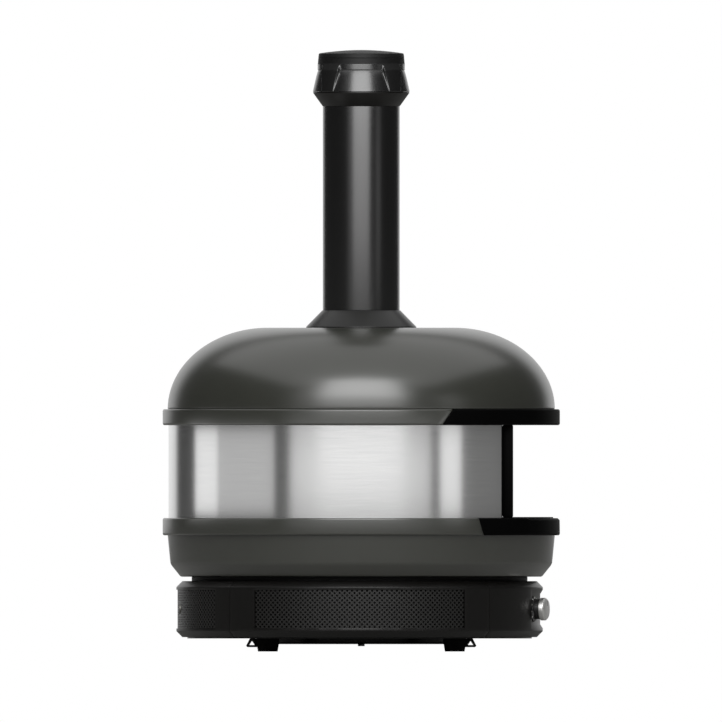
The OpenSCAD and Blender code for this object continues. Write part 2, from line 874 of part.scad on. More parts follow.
module igniter() {
  color(wool) rotate([0, 0, rear_angle + igniter_angle]) translate([burner_r, 0, z_deck]) {
    cylinder(r = ceramic_r, h = ceramic_h);
    cylinder(r = electrode_r, h = igniter_h);
  }
}

module neck_ring() {
  color(black) base_frame() difference() {
    tube(neck_r, neck_r - neck_w, z_neck, neck_h);
    neck_screw_holes(z_neck, neck_h);
  }
}

module neck_screws() {
  shank_z = z_neck - drum_t - neck_screw_tail;
  head_z = z_bowl + shell_t;
  color(dark_steel) base_frame() each_neck_screw() {
    translate([0, 0, shank_z]) cylinder(d = neck_screw_d, h = head_z - shank_z);
    translate([0, 0, head_z]) cylinder(d = 1.8 * neck_screw_d, h = neck_screw_head_h);
  }
}

module lower_bowl() {
  z_bend = z_bowl + bowl_slope_h;
  color(olive) difference() {
    lathe([
      [0, z_bowl], [bowl_floor_r, z_bowl], [bowl_bend_r, z_bend], [shell_r, z_lower_rim],
      [shell_r - shell_t, z_lower_rim], [bowl_bend_r - shell_t, z_bend + shell_t / 3],
      [bowl_floor_r - shell_t / 2, z_bowl + shell_t], [0, z_bowl + shell_t]
    ]);
    base_frame() neck_screw_holes(z_bowl, shell_t);
    translate([feed_x, feed_rear_y, z_bowl - cut]) cylinder(r = feed_hole_r, h = shell_t + 2 * cut);
  }
}

module floor_insulation() {
  z0 = z_bowl + shell_t;
  color(wool) translate([0, 0, z0]) cylinder(r = stone_r - slab_inset, h = z_tray - z0);
}

module stone_tray() {
  r = deck_hole_r;
  color(dark_steel) lathe([
    [0, z_tray], [r + liner_t, z_tray], [r + liner_t, z_wall - liner_t],
    [r + tray_flange, z_wall - liner_t], [r + tray_flange, z_wall],
    [r, z_wall], [r, z_stone], [0, z_stone]
  ]);
}

module pizza_stone() {
  color(clay) translate([0, 0, z_stone]) cylinder(r = stone_r, h = stone_t);
}

// The space in front of a lip's leaning seam
module lip_zone(reach_low, reach_high, z0, h) {
  lean = (reach_high - reach_low) / h * cut;
  side_sheet(2 * rim_d, [
    [-rim_d, z0 - cut], [-reach_low + lean, z0 - cut],
    [-reach_high - lean, z0 + h + cut], [-rim_d, z0 + h + cut]
  ]);
}

module lower_lip_zone() {
  lip_zone(lower_lip_reach + lower_seam_lean, lower_lip_reach, z_lower_rim, lower_rim_h);
}

module upper_lip_zone() {
  lip_zone(upper_lip_reach - upper_seam_lean, upper_lip_reach, z_upper_rim, upper_rim_h);
}

module lower_rim() {
  color(olive) difference() {
    lathe(rim_section(z_lower_rim, lower_rim_h));
    lower_lip_zone();
  }
}

module lower_lip() {
  color(black) difference() {
    intersection() {
      lathe(rim_section(z_lower_rim, lower_rim_h));
      lower_lip_zone();
    }
    sector(front_angle, lip_bevel_angle, [
      [rim_r - lip_bevel - cut, z_wall + cut], [rim_r + cut, z_wall - lip_bevel - cut],
      [rim_r + cut, z_wall + cut]
    ]);
  }
}

module upper_rim() {
  color(olive) difference() {
    lathe(rim_section(z_upper_rim, upper_rim_h));
    upper_lip_zone();
  }
}

module upper_lip() {
  color(black) intersection() {
    lathe(rim_section(z_upper_rim, upper_rim_h));
    upper_lip_zone();
  }
}

module lower_deck() {
  color(black) difference() {
    tube(inside_wall_r, deck_hole_r, z_wall, deck_t);
    translate([feed_x, feed_rear_y, z_wall - cut]) cylinder(r = feed_hole_r, h = deck_t + 2 * cut);
  }
}

module upper_deck() {
  color(black) tube(inside_wall_r, cavity_r - liner_t, z_ceiling, deck_t);
}

// All space in front of the mouth's plane, moved back by inset
module mouth_side(inset) {
  translate([-rim_d, inset - mouth_plane - rim_d, z_wall - cut])
    cube([2 * rim_d, rim_d, wall_h + upper_rim_h]);
}

// The straight way in from the mouth, in front of the middle of the cavity
module mouth_way(half) {
  translate([-half, -rim_d, z_wall - cut]) cube([2 * half, rim_d, wall_h + upper_rim_h]);
}

module wall_band() {
  color(steel) difference() {
    tube(wall_r, wall_r - wall_t, z_wall, wall_h);
    mouth_side(0);
  }
}

module wall_insulation() {
  color(wool) difference() {
    tube(inside_wall_r, cavity_r + fit, z_deck, z_upper_rim - fit - z_deck);
    mouth_side(fit);
    mouth_way(cheek_half + fit);
  }
}

module inner_wall() {
  color(dark_steel) difference() {
    tube(cavity_r, cavity_r - liner_t, z_deck, z_ceiling - z_deck);
    mouth_way(cheek_half);
  }
}

module cheek(x0) {
  color(dark_steel) translate([x0, -mouth_plane, z_deck])
    cube([liner_t, mouth_plane - cheek_back, z_ceiling - z_deck]);
}

module left_cheek() {
  cheek(-cheek_half);
}

module right_cheek() {
  cheek(mouth_half);
}

// Outline of a gate over the deck: its outer rectangle less the mouth
function gate_outline(half) =
  let (c = mouth_corner_r)
  concat(
    [[-half, z_deck], [-half, z_upper_rim], [half, z_upper_rim], [half, z_deck], [mouth_half, z_deck]],
    arc([mouth_half - c, mouth_top - c], c, 0, 90, corner_steps),
    arc([c - mouth_half, mouth_top - c], c, 90, 180, corner_steps),
    [[-mouth_half, z_deck]]
  );

module mouth_plate() {
  color(dark_steel) front_sheet(-mouth_plane, mouth_plate_t, gate_outline(mouth_plate_half));
}

module mouth_frame() {
  color(black) front_sheet(-mouth_plane - mouth_plate_t, frame_depth, gate_outline(mouth_half + frame_w));
}

module inner_dome() {
  top = dome_curve(lining_flat_r, lining_run, lining_rise, z_inner_dome, 0);
  under = dome_curve(lining_flat_r, lining_run, lining_rise, z_inner_dome, -liner_t);
  color(dark_steel) lathe(concat(
    top, [[throat_bore_r, z_lining_top], [throat_bore_r, z_lining_top - liner_t]], reversed(under)
  ));
}

module dome_insulation() {
  top = dome_curve(dome_flat_r, dome_run, dome_h, z_dome + fit, -shell_t - 2 * fit);
  under = dome_curve(lining_flat_r, lining_run, lining_rise, z_inner_dome + fit, fit);
  well_r = throat_flange_r + fit;
  rim_inner = rim_r - rim_flange - fit;
  color(wool) lathe(concat(
    [[rim_inner, z_inner_dome + fit], [rim_inner, z_dome + fit]],
    top,
    [[well_r, top[dome_steps].y], [well_r, under[dome_steps].y]],
    reversed(under)
  ));
}

module dome_shell() {
  top = dome_curve(dome_flat_r, dome_run, dome_h, z_dome, 0);
  under = dome_curve(dome_flat_r, dome_run, dome_h, z_dome, -shell_t);
  hole_r = throat_r + fit;
  color(olive) lathe(concat(
    top, [[hole_r, z_collar], [hole_r, z_collar - shell_t]], reversed(under)
  ));
}

module flue_throat() {
  top = z_flue + throat_reach;
  color(dark_steel) lathe([
    [throat_bore_r, z_lining_top], [throat_flange_r, z_lining_top],
    [throat_flange_r, z_lining_top + liner_t], [throat_r, z_lining_top + liner_t],
    [throat_r, top], [throat_bore_r, top]
  ]);
}

module collar() {
  r = collar_d / 2;
  bore = throat_r + fit;
  color(olive) lathe([
    [r, z_collar], [r, z_collar + collar_edge], [collar_top_r, z_flue], [bore, z_flue],
    [bore, z_flue - collar_lip], [r - collar_foot_w, z_collar]
  ]);
}

module flue_tube() {
  color(black) tube(flue_r, flue_r - flue_t, z_flue, flue_h);
}

module cap_base() {
  z_top = z_cap + cone_h;
  color(black) lathe([
    [spigot_bore_r, z_cap - spigot_reach], [spigot_r, z_cap - spigot_reach], [spigot_r, z_cap],
    [cone_foot_r, z_cap], [cone_r, z_top - cone_edge], [cone_r, z_top], [cone_r - cone_edge, z_top],
    [ledge_r, z_cap + ledge_h], [spigot_bore_r, z_cap + ledge_h]
  ]);
}

module cap_struts() {
  z0 = z_cap + ledge_h;
  color(black) for (i = [0:strut_count - 1]) {
    rotate([0, 0, (i + 0.5) * 360 / strut_count])
      translate([spigot_bore_r + strut_inset, -strut_w / 2, z0])
        cube([strut_t, strut_w, z_lid - hood_t - z0]);
  }
}

// Upright outline of one hood window, rounded at its upper corners
function window_outline() =
  let (
    c = window_corner_r,
    xc = window_top_w - c * (1 - sin(window_slant)) / cos(window_slant),
    low = cut * tan(window_slant)
  )
  concat(
    [[-window_foot_w - low, z_hood - cut], [window_foot_w + low, z_hood - cut]],
    arc([xc, z_hood + window_h - c], c, window_slant, 90, corner_steps),
    arc([-xc, z_hood + window_h - c], c, 90, 180 - window_slant, corner_steps)
  );

// What the windows take off the hood, down to their flared floor
module window_hollows() {
  flare = (hood_floor_r - hood_floor_top_r) / hood_shoulder_z * cut;
  far = 2 * hood_r;
  for (i = [0:window_count - 1]) {
    intersection() {
      lathe([
        [hood_floor_r + flare, z_hood - cut], [far, z_hood - cut], [far, z_hood + hood_h],
        [hood_floor_top_r, z_hood + hood_h], [hood_floor_top_r, z_hood + hood_shoulder_z]
      ]);
      rotate([0, 0, i * 360 / window_count]) front_sheet(0, hood_d, window_outline());
    }
  }
}

module cap_hood() {
  z_shoulder = z_hood + hood_shoulder_z;
  z_neck_line = z_hood + window_h + cut;
  inner_top_r = hood_floor_top_r - hood_t;
  skirt_bore_r = inner_top_r - hood_t;
  z_skirt = z_cap + cone_h - skirt_lap;
  color(black) difference() {
    lathe([
      [hood_r, z_hood], [hood_shoulder_d / 2, z_shoulder], [hood_neck_r, z_neck_line],
      [hood_seam_r, z_lid], [spigot_bore_r, z_lid], [spigot_bore_r, z_lid - hood_t],
      [skirt_bore_r, z_lid - hood_t], [skirt_bore_r, z_skirt], [inner_top_r, z_skirt],
      [inner_top_r, z_shoulder], [hood_floor_r - hood_t, z_hood]
    ]);
    window_hollows();
  }
}

module cap_lid() {
  z_edge = z_lid + lid_edge_h;
  color(black) lathe(concat(
    [[0, z_lid], [hood_seam_r, z_lid]],
    [for (i = [0:crown_steps]) let (s = 1 - i / crown_steps) [lid_edge_r * s, z_edge + lid_crown_h * (1 - s * s)]]
  ));
}

foot_pads();
foot_brackets();
foot_screws();
base_plate();
under_pan();
pan_bolt();
front_panel();
left_panel();
right_panel();
rear_panel();
left_grille();
right_grille();
rear_grille();
vent_baffle();
control_panel();
knob_bezel();
gas_knob();
knob_hub();
valve_spindle();
valve_plunger();
gas_valve();
gas_inlet();
inlet_bracket();
inlet_nut();
supply_pipe();
feed_pipe();
burner();
burner_posts();
igniter();
neck_ring();
neck_screws();
lower_bowl();
floor_insulation();
stone_tray();
pizza_stone();
lower_rim();
lower_lip();
lower_deck();
wall_band();
wall_insulation();
inner_wall();
left_cheek();
right_cheek();
mouth_plate();
mouth_frame();
upper_rim();
upper_lip();
upper_deck();
inner_dome();
dome_insulation();
dome_shell();
flue_throat();
collar();
flue_tube();
cap_base();
cap_struts();
cap_hood();
cap_lid();
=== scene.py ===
"""Looks of a round gas-fired pizza oven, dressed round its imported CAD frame.

Sizes are in millimetres unless a name or a docstring says metres. The mouth faces -Y and the camera looks along +X,
as in the photograph. An angle round the axis is measured from the rear (+Y), positive towards the right side (+X).
"""

import logging
import math
from collections.abc import Callable, Sequence
from dataclasses import dataclass, field
from enum import Enum

import bmesh
import bpy
from mathutils import Matrix, Vector


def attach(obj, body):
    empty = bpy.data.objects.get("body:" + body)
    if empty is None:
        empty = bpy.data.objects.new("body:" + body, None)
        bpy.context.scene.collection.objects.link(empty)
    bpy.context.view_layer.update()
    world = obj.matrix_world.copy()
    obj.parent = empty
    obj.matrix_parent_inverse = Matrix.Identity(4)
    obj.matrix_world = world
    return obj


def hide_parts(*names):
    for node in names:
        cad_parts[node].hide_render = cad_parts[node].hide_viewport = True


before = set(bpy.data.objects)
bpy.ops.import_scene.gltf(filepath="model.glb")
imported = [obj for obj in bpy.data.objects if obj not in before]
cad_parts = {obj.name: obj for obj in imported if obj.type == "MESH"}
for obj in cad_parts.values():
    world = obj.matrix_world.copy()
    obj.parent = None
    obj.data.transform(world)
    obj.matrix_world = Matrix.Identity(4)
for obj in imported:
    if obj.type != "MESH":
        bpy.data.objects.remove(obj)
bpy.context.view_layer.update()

MM = 0.001
UV_NAME = "round_and_up"
# Edges that turn by more than this are shaded sharp
SHARP_ANGLE = math.radians(34)
# Faces that turn by less than this count as one flat face
FLAT_ANGLE = math.radians(0.5)
MERGE_DISTANCE = 1e-6
# Longest share of an edge that the rounding at one of its ends takes
ROUNDING_SHARE = 0.48
# Least cosine by which a mitred corner's move is divided
MITRE_LIMIT = 0.5
# Roundings of edges: cut off, broken, eased, rounded, softened and bent
CUT, BROKEN, EASED, ROUNDED, SOFT, BENT = 0.2, 0.3, 0.4, 0.5, 0.6, 0.8
# Columns round a large, a middling and a small turned piece
LARGE_TURN, MIDDLE_TURN, SMALL_TURN = 200, 128, 96
# Noise lies mostly between these values
NOISE_LOW, NOISE_HIGH = 0.3, 0.7
WHITE = (1.0, 1.0, 1.0, 1.0)
LOG = logging.getLogger("pizza_oven")

Point = tuple[float, float]
Colour = tuple[float, float, float, float]


class Body(Enum):
    """The CAD bodies that the pieces made here ride on."""

    OVEN = "oven_body"
    CHIMNEY = "chimney"
    CAP = "rain_cap"
    KNOB = "knob"


class Slot(Enum):
    """The record's material slots of the pieces made here."""

    OLIVE = "olive_enamel"
    BLACK = "black_coat"
    PERFORATED = "perforated_black"
    WALL = "wall_steel"
    LINER = "liner_steel"
    BRASS = "brass"
    KNOB = "knob_metal"
    KNOB_BLACK = "knob_black"
    RUBBER = "foot_rubber"
    STONE = "baking_stone"


class Side(Enum):
    """The four quarters of the base drum, as angles from the rear in degrees."""

    REAR = 0.0
    RIGHT = 90.0
    FRONT = 180.0
    LEFT = -90.0


# Materials


def linear(colour: str) -> Colour:
    """Turn an sRGB hex colour into linear values.

    Args:
        colour: Six hex digits after a hash sign.

    Returns:
        Linear red, green, blue and an alpha of one.
    """
    parts = [int(colour[i:i + 2], 16) / 255 for i in (1, 3, 5)]
    red, green, blue = (c / 12.92 if c <= 0.04045 else ((c + 0.055) / 1.055) ** 2.4 for c in parts)
    return red, green, blue, 1.0


def per_mm(size: float) -> float:
    """Give the texture scale at which one feature is size millimetres wide."""
    return 1 / (size * MM)


def add_node(tree: bpy.types.NodeTree, kind: str, values: dict | None = None, links: dict | None = None,
             **settings: object) -> bpy.types.Node:
    """Add a node to a tree.

    Args:
        tree: The tree that takes the node.
        kind: Blender's name of the node's type.
        values: Constants by input socket.
        links: Output sockets by the input socket that they feed.
        settings: The node's own properties.

    Returns:
        The new node.
    """
    node = tree.nodes.new(kind)
    for key, value in settings.items():
        setattr(node, key, value)
    for key, value in (values or {}).items():
        node.inputs[key].default_value = value
    for key, socket in (links or {}).items():
        tree.links.new(socket, node.inputs[key])
    return node


def mixed_colour(tree: bpy.types.NodeTree, factor: bpy.types.NodeSocket, first: str,
                 second: str) -> bpy.types.NodeSocket:
    """Blend two sRGB hex colours by a factor and return the colour's socket."""
    blend = add_node(tree, "ShaderNodeMix", {6: linear(first), 7: linear(second)}, {0: factor}, data_type="RGBA")
    return blend.outputs[2]


@dataclass(frozen=True)
class Finish:
    """What all finishes share: two shades that drift into each other, a roughness range and a fine relief."""

    name: str
    shade: str
    light_shade: str
    roughness: float
    roughness_drift: float = 0.03
    drift_mm: float = 45.0
    grain_mm: float = 1.6
    grain_depth_mm: float = 0.02
    grain_strength: float = 0.12
    metallic: float = 0.0
    ior: float = 1.5
    coat: float = 0.0
    coat_roughness: float = 0.2

    def stretch(self) -> tuple[float, float, float]:
        """Give the stretch of the grain along X, Y and Z; one means an even grain."""
        return 1.0, 1.0, 1.0

    def material(self) -> bpy.types.Material:
        """Build the material, or return it if it is already there."""
        made = bpy.data.materials.get(self.name)
        if made:
            return made
        material = bpy.data.materials.new(self.name)
        material.use_nodes = True
        tree = material.node_tree
        shader = tree.nodes["Principled BSDF"]
        place = add_node(tree, "ShaderNodeTexCoord").outputs["Object"]
        drift = add_node(tree, "ShaderNodeTexNoise", {"Scale": per_mm(self.drift_mm), "Detail": 3.0},
                         {"Vector": place}).outputs["Fac"]
        along = add_node(tree, "ShaderNodeMapping", {"Scale": self.stretch()}, {"Vector": place}).outputs["Vector"]
        grain = add_node(tree, "ShaderNodeTexNoise", {"Scale": per_mm(self.grain_mm), "Detail": 2.0},
                         {"Vector": along}).outputs["Fac"]
        self.colour(tree, shader, drift, grain)
        spread = self.roughness_drift
        rough = add_node(tree, "ShaderNodeMapRange", {
            "From Min": NOISE_LOW, "From Max": NOISE_HIGH,
            "To Min": self.roughness - spread, "To Max": self.roughness + spread}, {"Value": grain})
        relief = add_node(tree, "ShaderNodeBump", {
            "Strength": self.grain_strength, "Distance": self.grain_depth_mm * MM}, {"Height": grain})
        tree.links.new(rough.outputs["Result"], shader.inputs["Roughness"])
        tree.links.new(relief.outputs["Normal"], shader.inputs["Normal"])
        shader.inputs["Metallic"].default_value = self.metallic
        shader.inputs["IOR"].default_value = self.ior
        shader.inputs["Coat Weight"].default_value = self.coat
        shader.inputs["Coat Roughness"].default_value = self.coat_roughness
        self.dress(tree, shader)
        return material

    def colour(self, tree: bpy.types.NodeTree, shader: bpy.types.Node, drift: bpy.types.NodeSocket,
               grain: bpy.types.NodeSocket) -> None:
        """Link the drift of the two shades to the shader's colour.

        Args:
            tree: The material's tree.
            shader: The Principled shader.
            drift: Slow noise.
            grain: Fine noise; not used by this plain blend.
        """
        tree.links.new(mixed_colour(tree, drift, self.shade, self.light_shade), shader.inputs["Base Color"])

    def dress(self, tree: bpy.types.NodeTree, shader: bpy.types.Node) -> None:
        """Add what one kind of finish has and the others lack."""


@dataclass(frozen=True)
class BrushedFinish(Finish):
    """Sheet steel brushed round the axis: its scratches smear lights up and down and leave them crisp sideways."""

    anisotropy: float = 0.3
    shine_turn: float = 0.25
    scratch_length: float = 60.0

    def stretch(self) -> tuple[float, float, float]:
        """Draw the scratches out sideways."""
        return 1 / self.scratch_length, 1 / self.scratch_length, 1.0

    def colour(self, tree: bpy.types.NodeTree, shader: bpy.types.Node, drift: bpy.types.NodeSocket,
               grain: bpy.types.NodeSocket) -> None:
        """Let the scratches, more than the drift, vary the shade."""
        tree.links.new(mixed_colour(tree, grain, self.shade, self.light_shade), shader.inputs["Base Color"])

    def dress(self, tree: bpy.types.NodeTree, shader: bpy.types.Node) -> None:
        """Turn the shine across the scratches."""
        way = add_node(tree, "ShaderNodeTangent", direction_type="UV_MAP", uv_map=UV_NAME)
        tree.links.new(way.outputs["Tangent"], shader.inputs["Tangent"])
        shader.inputs["Anisotropic"].default_value = self.anisotropy
        shader.inputs["Anisotropic Rotation"].default_value = self.shine_turn


@dataclass(frozen=True)
class SpeckledFinish(Finish):
    """Fired stone or pressed fibre: the fine grain shows as specks of the second shade."""

    speck_from: float = 0.52
    speck_to: float = 0.66

    def colour(self, tree: bpy.types.NodeTree, shader: bpy.types.Node, drift: bpy.types.NodeSocket,
               grain: bpy.types.NodeSocket) -> None:
        """Cut the grain into specks."""
        speck = add_node(tree, "ShaderNodeMapRange", {"From Min": self.speck_from, "From Max": self.speck_to},
                         {"Value": grain}, interpolation_type="SMOOTHSTEP").outputs["Result"]
        tree.links.new(mixed_colour(tree, speck, self.light_shade, self.shade), shader.inputs["Base Color"])


# Powder coat, sprayed and baked: an even olive charcoal with a soft sheen and a faint orange peel. Its index of
# refraction, like the chimney's, is set by how strong its highlights are.
OLIVE_COAT = Finish("olive_powder_coat", "#262722", "#2a2b26", 0.28, roughness_drift=0.006, grain_mm=2.2,
                    grain_depth_mm=0.01, grain_strength=0.015, ior=1.8)
# The same coat in charcoal, on the collar.
CHARCOAL_COAT = Finish("charcoal_powder_coat", "#10100f", "#141413", 0.34, roughness_drift=0.012, grain_mm=2.2,
                       grain_strength=0.03, ior=1.45)
# Heat-proof satin paint on the chimney: deep black with a clear soft reflection.
SATIN_BLACK = Finish("satin_black_stove_paint", "#040404", "#070707", 0.26, roughness_drift=0.01, grain_mm=1.8,
                     grain_strength=0.01, ior=1.8)
# Fine-textured powder coat on the base and the cap's cone: a slightly warm black that spreads the light.
MATT_BLACK = Finish("matt_black_powder_coat", "#060504", "#080706", 0.36, roughness_drift=0.02, grain_mm=0.9,
                    grain_strength=0.05, ior=1.42)
# Coarser powder coat on the hood, the lid and the neck: a deep black with a low, wide shine.
DEEP_BLACK = Finish("deep_black_powder_coat", "#030303", "#060606", 0.58, roughness_drift=0.03, grain_mm=1.2,
                    grain_strength=0.1, ior=1.38)
# Enamel dulled by soot on the lips and round the mouth: black with next to no shine.
SOOT_BLACK = Finish("sooty_black_enamel", "#020202", "#040404", 0.55, grain_mm=1.5, grain_strength=0.1, ior=1.1)
# Coil-coated sheet of the grilles: black with more sheen than the base, so its webs catch the light.
GRILLE_BLACK = Finish("satin_black_coil_coat", "#080706", "#0c0b0a", 0.36, roughness_drift=0.02, grain_mm=1.0,
                      grain_strength=0.05, ior=1.6)
# Stainless sheet, brushed round the wall: bright bands of the studio with fine level streaks. The scratches are
# drawn about four times as coarse as real ones, so that they show.
WALL_STEEL = BrushedFinish("brushed_stainless_steel", "#cacacb", "#d7d7d6", 0.21, roughness_drift=0.015,
                           grain_mm=1.1, grain_depth_mm=0.005, grain_strength=0.01, metallic=1.0)
# Rolled stainless lining, dulled by heat: grey with a warm drift.
LINER_STEEL = Finish("heat_dulled_steel", "#57534c", "#6f6a62", 0.42, roughness_drift=0.08, drift_mm=70.0,
                     grain_mm=3.0, metallic=1.0)
# Zinc plate on screws, pipes and brackets: pale grey with a faint spangle.
ZINC_PLATE = Finish("zinc_plated_steel", "#8d8e90", "#a9aaad", 0.38, roughness_drift=0.1, drift_mm=6.0, grain_mm=2.0,
                    metallic=1.0)
# Die-cast alloy as it leaves the mould: dull and slightly pitted.
CAST_ALLOY = Finish("die_cast_alloy", "#7a7a78", "#8c8c8a", 0.5, grain_mm=0.8, grain_depth_mm=0.06,
                    grain_strength=0.3, metallic=1.0)
# Turned brass: warm, with fine tool marks.
TURNED_BRASS = Finish("turned_brass", "#a8884a", "#c2a05c", 0.28, drift_mm=12.0, grain_mm=0.6, metallic=1.0)
# Nickel plate on the brass inlet: dull grey.
NICKELLED_BRASS = Finish("nickel_plated_brass", "#6f6e6a", "#8a8984", 0.32, drift_mm=12.0, grain_mm=0.6,
                         metallic=1.0)
# Bead-blasted aluminium of the knob: pale grey with a soft, even shine.
BLASTED_ALUMINIUM = Finish("bead_blasted_aluminium", "#dbdad8", "#e4e3e1", 0.42, drift_mm=9.0, grain_mm=0.5,
                           grain_depth_mm=0.015, metallic=1.0)
# Moulded nylon of the hub and the dial ring: black with a low sheen.
MOULDED_BLACK = Finish("moulded_black_nylon", "#101010", "#171717", 0.42, grain_mm=0.7)
# Painted highlights on the dial ring: white ticks that stand in for its glints of light, flat with slightly uneven
# cover.
PAINTED_GLINT_WHITE = Finish("dial_painted_glint_white", "#c9c9c4", "#dededa", 0.55, drift_mm=1.5, grain_mm=0.5)
# Moulded rubber of the feet: dark and matt, with a dusty bloom.
FOOT_RUBBER = Finish("moulded_rubber", "#060606", "#0a0a09", 0.7, roughness_drift=0.08, drift_mm=9.0, grain_mm=0.8,
                     grain_strength=0.3, ior=1.3)
# Pressed ceramic fibre: off-white and furry.
CERAMIC_WOOL = SpeckledFinish("pressed_ceramic_fibre", "#b9b1a0", "#d8d2c2", 0.95, grain_mm=1.4, grain_depth_mm=0.4,
                              grain_strength=0.6, speck_from=0.45, speck_to=0.7)
# Cordierite stone, fired: sandy buff with darker grit of about 2 mm.
BAKING_STONE = SpeckledFinish("fired_cordierite", "#a8967a", "#cdbea4", 0.85, grain_mm=2.0, grain_depth_mm=0.15,
                              grain_strength=0.4)
# Glazed ceramic of the igniter: clean white with a gloss.
GLAZED_CERAMIC = Finish("glazed_ceramic", "#d9d6cc", "#e6e4dc", 0.18, drift_mm=5.0, grain_mm=1.5, coat=0.5)


# Shaping


def linked(name: str, data: bpy.types.ID) -> bpy.types.Object:
    """Make an object of a mesh, a lamp or a camera, and put it in the scene."""
    made = bpy.data.objects.new(name, data)
    bpy.context.scene.collection.objects.link(made)
    return made


def as_mesh(shape: bmesh.types.BMesh) -> bpy.types.Mesh:
    """Turn an edited shape into a mesh, and free it."""
    mesh = bpy.data.meshes.new("shape")
    shape.to_mesh(mesh)
    shape.free()
    return mesh


def bevel_modifier(width: float, angle: float) -> tuple[str, dict]:
    """Describe the modifier that bevels the edges which turn by more than an angle in degrees."""
    return "BEVEL", {"width": width * MM, "segments": 2, "limit_method": "ANGLE", "angle_limit": math.radians(angle)}


def spaced(first: float, last: float, count: int) -> list[float]:
    """List the ends of count equal steps from the first number to the last, and the first itself."""
    return [first + (last - first) * i / count for i in range(count + 1)]


def rounded(corners: Sequence[tuple[float, float, float]], step: float = 12.0) -> list[Point]:
    """Round the corners of a closed outline.

    Args:
        corners: Across, up and rounding radius of each corner, in order.
        step: Degrees of turn that one short edge of an arc takes.

    Returns:
        The points of the rounded outline.
    """
    points: list[Point] = []
    for i, (x, z, radius) in enumerate(corners):
        here = Vector((x, z))
        if radius <= 0:
            points.append((x, z))
            continue
        before = Vector(corners[i - 1][:2]) - here
        after = Vector(corners[(i + 1) % len(corners)][:2]) - here
        opening = before.angle(after)
        reach = min(radius / math.tan(opening / 2), ROUNDING_SHARE * min(before.length, after.length))
        start = here + before.normalized() * reach
        middle = here + (before.normalized() + after.normalized()).normalized() * reach / math.cos(opening / 2)
        turn = math.pi - opening
        count = max(2, math.ceil(math.degrees(turn) / step))
        way = math.copysign(1.0, before.x * after.y - before.y * after.x)
        arm = start - middle
        for k in range(count + 1):
            t = -way * turn * k / count
            points.append((middle.x + arm.x * math.cos(t) - arm.y * math.sin(t),
                           middle.y + arm.x * math.sin(t) + arm.y * math.cos(t)))
    return points


def shrunk(outline: Sequence[Point], inset: float) -> list[Point]:
    """Move each point of a closed outline inwards along its normal.

    Args:
        outline: The points, in order.
        inset: How far they move.

    Returns:
        The smaller outline, with as many points.
    """
    area = sum(a[0] * b[1] - b[0] * a[1] for a, b in zip(outline, [*outline[1:], outline[0]]))
    way = math.copysign(1.0, area)
    smaller = []
    for i, point in enumerate(outline):
        last, following = Vector(outline[i - 1]), Vector(outline[(i + 1) % len(outline)])
        here = Vector(point)
        first, second = (here - last).normalized(), (following - here).normalized()
        normal = Vector((-first.y - second.y, first.x + second.x)).normalized() * way
        spread = max(MITRE_LIMIT, math.cos(first.angle(second) / 2))
        smaller.append(tuple(here + normal * inset / spread))
    return smaller


def on_circle(radius: float, angle: float, height: float) -> Vector:
    """Give the point at a radius, an angle in radians from the rear and a height, in metres."""
    return Vector((radius * math.sin(angle), radius * math.cos(angle), height)) * MM


def smooth(mesh: bpy.types.Mesh, angle: float = SHARP_ANGLE) -> bpy.types.Mesh:
    """Shade a mesh smooth, with sharp edges where faces meet at more than an angle."""
    mesh.polygons.foreach_set("use_smooth", [True] * len(mesh.polygons))
    mesh.set_sharp_from_angle(angle=angle)
    return mesh


def grid_mesh(columns: Sequence[Sequence[Vector]], ring: bool, section: bool = True,
              skip: Callable[[int, int], bool] | None = None) -> bpy.types.Mesh:
    """Join columns of points into a mesh with a UV map that runs round and up.

    Args:
        columns: Points of each section, in metres, one list for each place round the axis.
        ring: Whether the last column joins the first.
        section: Whether each section is a closed outline; the ends are then capped, and the normals recalculated.
        skip: Says which cells, by column and row, stay open.

    Returns:
        The mesh, with its doubles merged.
    """
    shape = bmesh.new()
    uv = shape.loops.layers.uv.new(UV_NAME)
    grid = [[shape.verts.new(point) for point in column] for column in columns]
    count, rows = len(grid), len(grid[0])
    for i in range(count if ring else count - 1):
        for j in range(rows if section else rows - 1):
            if skip and skip(i, j):
                continue
            k, m = (i + 1) % count, (j + 1) % rows
            face = shape.faces.new((grid[i][j], grid[i][m], grid[k][m], grid[k][j]))
            for loop, (u, v) in zip(face.loops, ((i, j), (i, j + 1), (i + 1, j + 1), (i + 1, j))):
                loop[uv].uv = (u / count, v / rows)
    if section and not ring:
        shape.faces.new(grid[0])
        shape.faces.new(reversed(grid[-1]))
    bmesh.ops.remove_doubles(shape, verts=shape.verts, dist=MERGE_DISTANCE)
    bmesh.ops.dissolve_degenerate(shape, edges=shape.edges, dist=MERGE_DISTANCE)
    if section:
        bmesh.ops.recalc_face_normals(shape, faces=shape.faces)
    return smooth(as_mesh(shape))


def turned(outline: Sequence[Point], segments: int = 160, shift: float = 0.0) -> bpy.types.Mesh:
    """Turn a closed outline right round the axis.

    Args:
        outline: Radius and height of each point.
        segments: Number of columns.
        shift: How far the axis sits behind the oven's own.

    Returns:
        The mesh.
    """
    offset = Vector((0, shift * MM, 0))
    columns = [[on_circle(r, math.tau * i / segments, z) + offset for r, z in outline] for i in range(segments)]
    return grid_mesh(columns, ring=True)


def shaped(mesh: bpy.types.Mesh, *modifiers: tuple[str, dict]) -> bpy.types.Mesh:
    """Apply modifiers to a mesh.

    Args:
        mesh: The mesh, which is used up.
        modifiers: Type and settings of each modifier, in order.

    Returns:
        The finished mesh.
    """
    bench = linked(mesh.name, mesh)
    for kind, settings in modifiers:
        modifier = bench.modifiers.new(kind.lower(), kind)
        for key, value in settings.items():
            setattr(modifier, key, value)
    return taken_off(bench)


